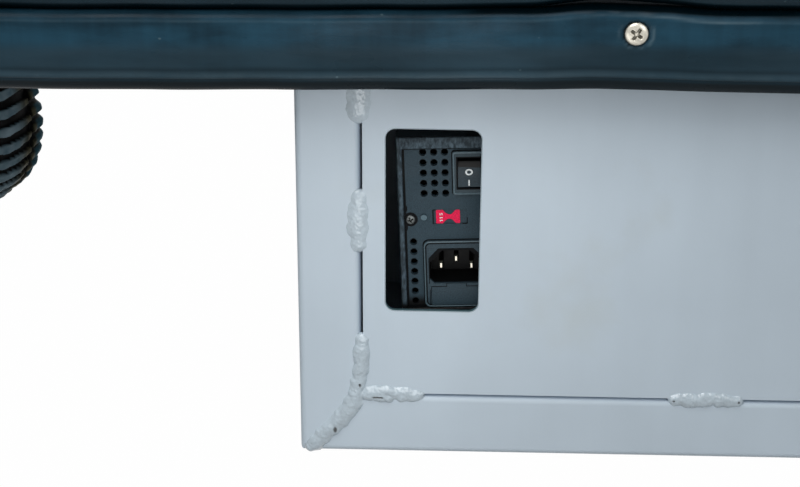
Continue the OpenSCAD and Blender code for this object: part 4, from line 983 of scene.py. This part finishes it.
def rocker_marks():
    """The generic 0 and I on the rocker."""
    verts, faces = [], []
    spokes = 28
    centre = (-6.7, 43.75)
    for i in range(spokes):
        a = 2 * math.pi * i / spokes
        for rx, rz in ((1.72, 1.4), (0.98, 0.72)):
            for lift in (0.0, MARK_TALL):
                x, z = centre[0] + rx * math.cos(a), centre[1] + rz * math.sin(a)
                verts.append(in_unit(x, 0.38 - (z - 43.6) * UPPER_SLOPE + lift, z))
    for i in range(spokes):
        a, b = 4 * i, 4 * ((i + 1) % spokes)
        faces += [(a + 1, b + 1, b + 3, a + 3), (a, b, b + 1, a + 1), (a + 2, a + 3, b + 3, b + 2)]
    base = len(verts)
    for x in (-0.3, 0.3):
        for z in (-1.3, 1.3):
            for lift in (0.0, MARK_TALL):
                verts.append(in_unit(-6.65 + x, 1.36 - z * LOWER_SLOPE + lift, 39.0 + z))
    faces += [tuple(base + i for i in f) for f in
              ((1, 3, 7, 5), (0, 1, 5, 4), (2, 6, 7, 3), (0, 2, 3, 1), (4, 5, 7, 6))]
    piece("rocker_marks", verts, faces, "switch_rocker", "rocker_plastic", smooth=False, material=white)


def build_slider():
    """The red bow of the selector with its plain number, the floor of its slot and lines of painted shade along
    its edges.
    """
    z, slider = 22.4, body_of["selector_slider"]
    half = [(8.75, 3.0), (8.45, 3.25), (5.7, 3.25), (5.2, 2.7), (4.5, 1.9), (3.8, 1.35), (2.9, 1.05),
            (2.2, 1.05), (1.5, 1.35), (0.9, 1.9), (0.3, 2.65), (-0.1, 3.1), (-0.4, 3.25),
            (-1.95, 3.25), (-2.15, 3.0)]
    outline = [(x, z - 0.1 + up) for x, up in half] + [(x, z - 0.1 - up) for x, up in reversed(half)]
    plate("selector_bow", outline, -0.3, -0.15, slider, "slider_red", ["selector_slider"])
    strokes = []
    for k in (0, 1):
        low = z - 2.1 + 1.35 * k
        strokes += [(5.75, 7.15, low, low + 0.36), (6.75, 7.0, low - 0.35, low)]
    low = z + 0.6
    strokes += [(6.85, 7.15, low, low + 1.05), (6.35, 6.85, low, low + 0.3), (6.3, 6.6, low, low + 0.8),
                (5.85, 6.35, low + 0.75, low + 1.05), (5.75, 6.0, low, low + 0.9)]
    bars("selector_number", strokes, -0.15, -0.08, slider, "slider_red", white, in_unit)
    x0, x1, h = 2.4 - 7.7, 2.4 + 7.7, 3.45
    plate("selector_floor", rounded(x0 + 0.1, x1 - 0.1, z - h + 0.1, z + h - 0.1, 0.3), -1.2, -0.4)
    lines = ((x1 - 0.25, x1 + 0.3, -3.5, 3.4), (x0 - 0.3, x0 + 0.1, -3.6, -0.6),
             (x0, x0 + 2.2, -3.8, -3.45), (x1 - 1.2, x1, 3.1, 3.5))
    for k, (a, b, low, high) in enumerate(lines):
        plate("selector_line_%d" % k, rounded(a, b, z + low, z + high, 0.05), -0.9, 0.05,
              material=painted_shadow_black)


def build_inlet():
    """The inlet's bevelled flange with painted highlight and painted shade lines, its socket's cut corners, a
    mouth of painted shade, its blades dark but at their tips, and the fuse drawer's face with a painted shade
    outline.
    """
    x, top, w, h, face = 0.15, 10.9, 29.3, 32.6, 1.8
    loop = outlines(x - w / 2, x + w / 2, top - h, top)

    def mirrored(*half):
        return [(x + a, b) for a, b in half] + [(x - a, b) for a, b in half[::-1]]

    dark_band("inlet_shadow", loop(-0.5, 2.8), loop(0.2, 2.4), 0.0, 0.06, "inlet_plastic")
    moulding("inlet_rim", [(loop(0, 2.5), 1.2), (loop(0, 2.5), 1.9), (loop(0.25, 2.4), 2.1),
                           (loop(0.45, 2.3), 2.1), (loop(0.65, 2.2), 1.85), (loop(0.7, 2.2), 1.2)],
             "inlet_plastic", painted_edge_highlight)
    dark_band("inlet_line", loop(0.65, 2.1), loop(1.25, 1.7), 1.75, 1.84, "inlet_plastic")
    half, floor, cut = 12.25, -10.0, 2.2
    for s in (-1, 1):
        corner = [(x + s * half, floor), (x + s * half, floor + cut), (x + s * (half - cut), floor)]
        plate("socket_corner_%s" % ("a" if s > 0 else "b"), corner, -0.5, face, "cart", "inlet_plastic")
    opening = mirrored((12.25, -10), (12.25, 0.5), (6.25, 6.5))
    seen = mirrored((12.65, -10), (12.65, 2.6), (8.1, 7.5))
    verts = [in_unit(a, y, b) for points, y in
             ((opening, 1.7), (opening, 1.84), (seen, 1.84), (seen, 1.7)) for a, b in points]
    piece("socket_mouth", verts, grid_faces(4, 6, True, False), "cart", "inlet_plastic", (), False,
          painted_shadow_black)
    verts, faces = [], []
    for px, pz in ((-7, -2.4), (0, 1.25), (7, -2.1)):
        base = len(verts)
        for hx, hz, y in ((1.0, 2.0, -20.0), (1.0, 2.0, -1.8), (0.42, 1.1, -0.97), (0.42, 1.1, -0.95)):
            verts += [in_unit(x + px + sx * hx, y, pz + sz * hz)
                      for sx, sz in ((-1, -1), (1, -1), (1, 1), (-1, 1))]
        ends = [(0, 3, 2, 1), (12, 13, 14, 15)]
        faces += [tuple(base + i for i in f) for f in ends + grid_faces(4, 4, False)]
    # Painted shade: the blades are dark but for their tips
    shades = [(0.0 if k % 16 > 11 else 1.0, 0.0, 0.0) for k in range(len(verts))]
    blades = piece("inlet_blades", verts, faces, "cart", "pin_metal", ["inlet_pins"], False)
    keep(blades, "painted_recess_shade", shades)
    line = mirrored((11.8, -21.0), (11.8, -11.3), (4.7, -11.3), (4.7, -10.05))
    shrunk = mirrored((11.5, -20.7), (11.5, -11.65), (4.35, -11.65), (4.35, -10.1))
    drawer = body_of["fuse_drawer"]
    plate("fuse_line", line, face, face + 0.05, drawer, "inlet_plastic", material=painted_shadow_black)
    plate("fuse_face", shrunk, face, face + 0.22, drawer, "inlet_plastic")


def build_unit():
    build_window_edge()
    build_bezel()
    build_switch()
    rocker_marks()
    build_slider()
    build_inlet()
    screws("case_screw_head", [(in_unit(20.5, 0.1, 21.3), (0, 1, 0), 2.45 * MM, 1.2 * MM)], "cart",
           "unit_screw", "unit_screws", {0: math.radians(20)})
    # Painted shade in the well round the screw head
    dark_band("case_screw_well", circle(20.5, 21.3, 2.3), circle(20.5, 21.3, 3.4), 0.0, 0.09)
    plate("status_dot", circle(14.3, 22.3, 1.4, 0.95, 28), 0.4, 0.75, material=dot_blue)


build_unit()


# ---------- oven ----------
def build_oven():
    """Rounded edges on the folded sheet and fittings, and the temperature on the display."""
    widths = {"top_panel": 1.2, "drawer_front": 1.2, "drawer_handle": 0.8, "power_box_cover": 0.8,
              "stop_base": 0.8, "display": 0.6, "castor_plates": 0.6}
    for node, width in widths.items():
        dress(node, width * MM)
    low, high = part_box("display")
    middle, size, thick = (low[0] + high[0]) / 2, 11 * MM, 1.2 * MM
    digits = {"2": "abged", "5": "afgcd", "0": "abcdef", "1": "bc", "8": "abcdefg"}
    spans = []
    for row, number in enumerate(("250", "180")):
        top = high[2] - (7.0 + 17.5 * row) * MM
        for place, digit in enumerate(number):
            left = middle + (place - 1.5) * 9.5 * MM + 1.2 * MM
            right, half = left + 0.58 * size, size / 2
            segments = {"a": (left, right, top - thick, top),
                        "b": (right - thick, right, top - half, top),
                        "c": (right - thick, right, top - size, top - half),
                        "d": (left, right, top - size, top - size + thick),
                        "e": (left, left + thick, top - size, top - half),
                        "f": (left, left + thick, top - half, top),
                        "g": (left, right, top - half - thick / 2, top - half + thick / 2)}
            spans += [segments[name] for name in digits[digit]]
    bars("display_number", spans, low[1] - 0.15 * MM, low[1] + 0.2 * MM, "cart", "display_dark",
         moulded("digit_glow", srgb(150, 214, 226), 0.3, 0.02), lambda x, y, z: (x, y, z))


build_oven()

# ---------- camera ----------
PHOTO_WIDTH = 800
FOCAL_PX = 1640.0
CENTRE_PX = 462.0
CAMERA_AT = (70.45 * MM, 948.7 * MM, 440.3 * MM)
PITCH = math.radians(22.2)
ROLL = 0.0195


def build_camera():
    data = bpy.data.cameras.new("camera")
    data.sensor_width = 36.0
    data.lens = FOCAL_PX / PHOTO_WIDTH * data.sensor_width
    data.shift_x = -(CENTRE_PX - PHOTO_WIDTH / 2) / PHOTO_WIDTH
    camera = bpy.data.objects.new("camera", data)
    bpy.context.scene.collection.objects.link(camera)
    turn = (Matrix.Rotation(math.pi, 4, "Z") @ Matrix.Rotation(math.pi / 2 - PITCH, 4, "X")
            @ Matrix.Rotation(ROLL, 4, "Z"))
    camera.matrix_world = Matrix.Translation(CAMERA_AT) @ turn
    bpy.context.scene.camera = camera


build_camera()


# ---------- light and floor ----------
def area_light(name, place, aim, size, power):
    data = bpy.data.lights.new(name, "AREA")
    data.shape = "RECTANGLE"
    data.size, data.size_y = size
    data.energy = power
    lamp = bpy.data.objects.new(name, data)
    bpy.context.scene.collection.objects.link(lamp)
    lamp.visible_camera = False
    lamp.location = place
    lamp.rotation_euler = (Vector(aim) - Vector(place)).to_track_quat("-Z", "Y").to_euler()


def show_white(tree, ordinary, white, end, share=1.0):
    """Links both to the end: white as the camera and glossy or clear surfaces see it."""
    path = tree.nodes.new("ShaderNodeLightPath").outputs
    seen = path["Is Camera Ray"]
    for other in (path["Is Glossy Ray"], path["Is Transmission Ray"], None):
        step = tree.nodes.new("ShaderNodeMath")
        tree.links.new(seen, step.inputs[0])
        if other:
            step.operation = "MAXIMUM"
            tree.links.new(other, step.inputs[1])
        else:
            step.operation = "MULTIPLY"
            step.inputs[1].default_value = share
        seen = step.outputs[0]
    mix = tree.nodes.new("ShaderNodeMixShader")
    for index, shader in enumerate((seen, ordinary, white)):
        tree.links.new(shader, mix.inputs[index])
    tree.links.new(mix.outputs[0], end)


def build_world():
    world = bpy.data.worlds.new("studio")
    bpy.context.scene.world = world
    world.use_nodes = True
    tree = world.node_tree
    tree.nodes.clear()
    ambient = tree.nodes.new("ShaderNodeBackground")
    ambient.inputs["Color"].default_value = srgb(236, 242, 248)
    ambient.inputs["Strength"].default_value = 0.40
    bright = tree.nodes.new("ShaderNodeBackground")
    bright.inputs["Color"].default_value = (1, 1, 1, 1)
    out = tree.nodes.new("ShaderNodeOutputWorld")
    show_white(tree, ambient.outputs[0], bright.outputs[0], out.inputs[0])


def build_floor():
    """A wide floor that takes faint shadows and looks white."""
    half = 12.0
    corners = [(-half, -half, 0), (half, -half, 0), (half, half, 0), (-half, half, 0)]
    mesh = bpy.data.meshes.new("floor")
    mesh.from_pydata(corners, [], [(0, 1, 2, 3)])
    floor = bpy.data.objects.new("floor", mesh)
    bpy.context.scene.collection.objects.link(floor)
    made = Finish("floor_white", (0.42, 0.42, 0.42, 1), 0.9, Specular_IOR_Level=0.0)
    tree = made.tree
    glow = tree.nodes.new("ShaderNodeEmission")
    show_white(tree, made.shader.outputs[0], glow.outputs[0],
               tree.nodes["Material Output"].inputs["Surface"], 0.992)
    mesh.materials.append(made.material)


area_light("key", (0.5, 1.15, 1.6), (0.1, 0.26, 0.18), (1.2, 1.0), 15.5)
area_light("fill", (-1.5, 2.2, 1.1), (0.0, 0.2, 0.2), (1.5, 1.5), 14)
area_light("pool", (0.1, 0.43, 0.16), (0.1, 0.265, 0.165), (0.12, 0.12), 0.1)
area_light("front", (1.0, -2.3, 1.9), (0.0, -0.2, 0.45), (1.6, 1.6), 27)
build_world()
build_floor()

scene = bpy.context.scene
scene.view_settings.view_transform = "Standard"
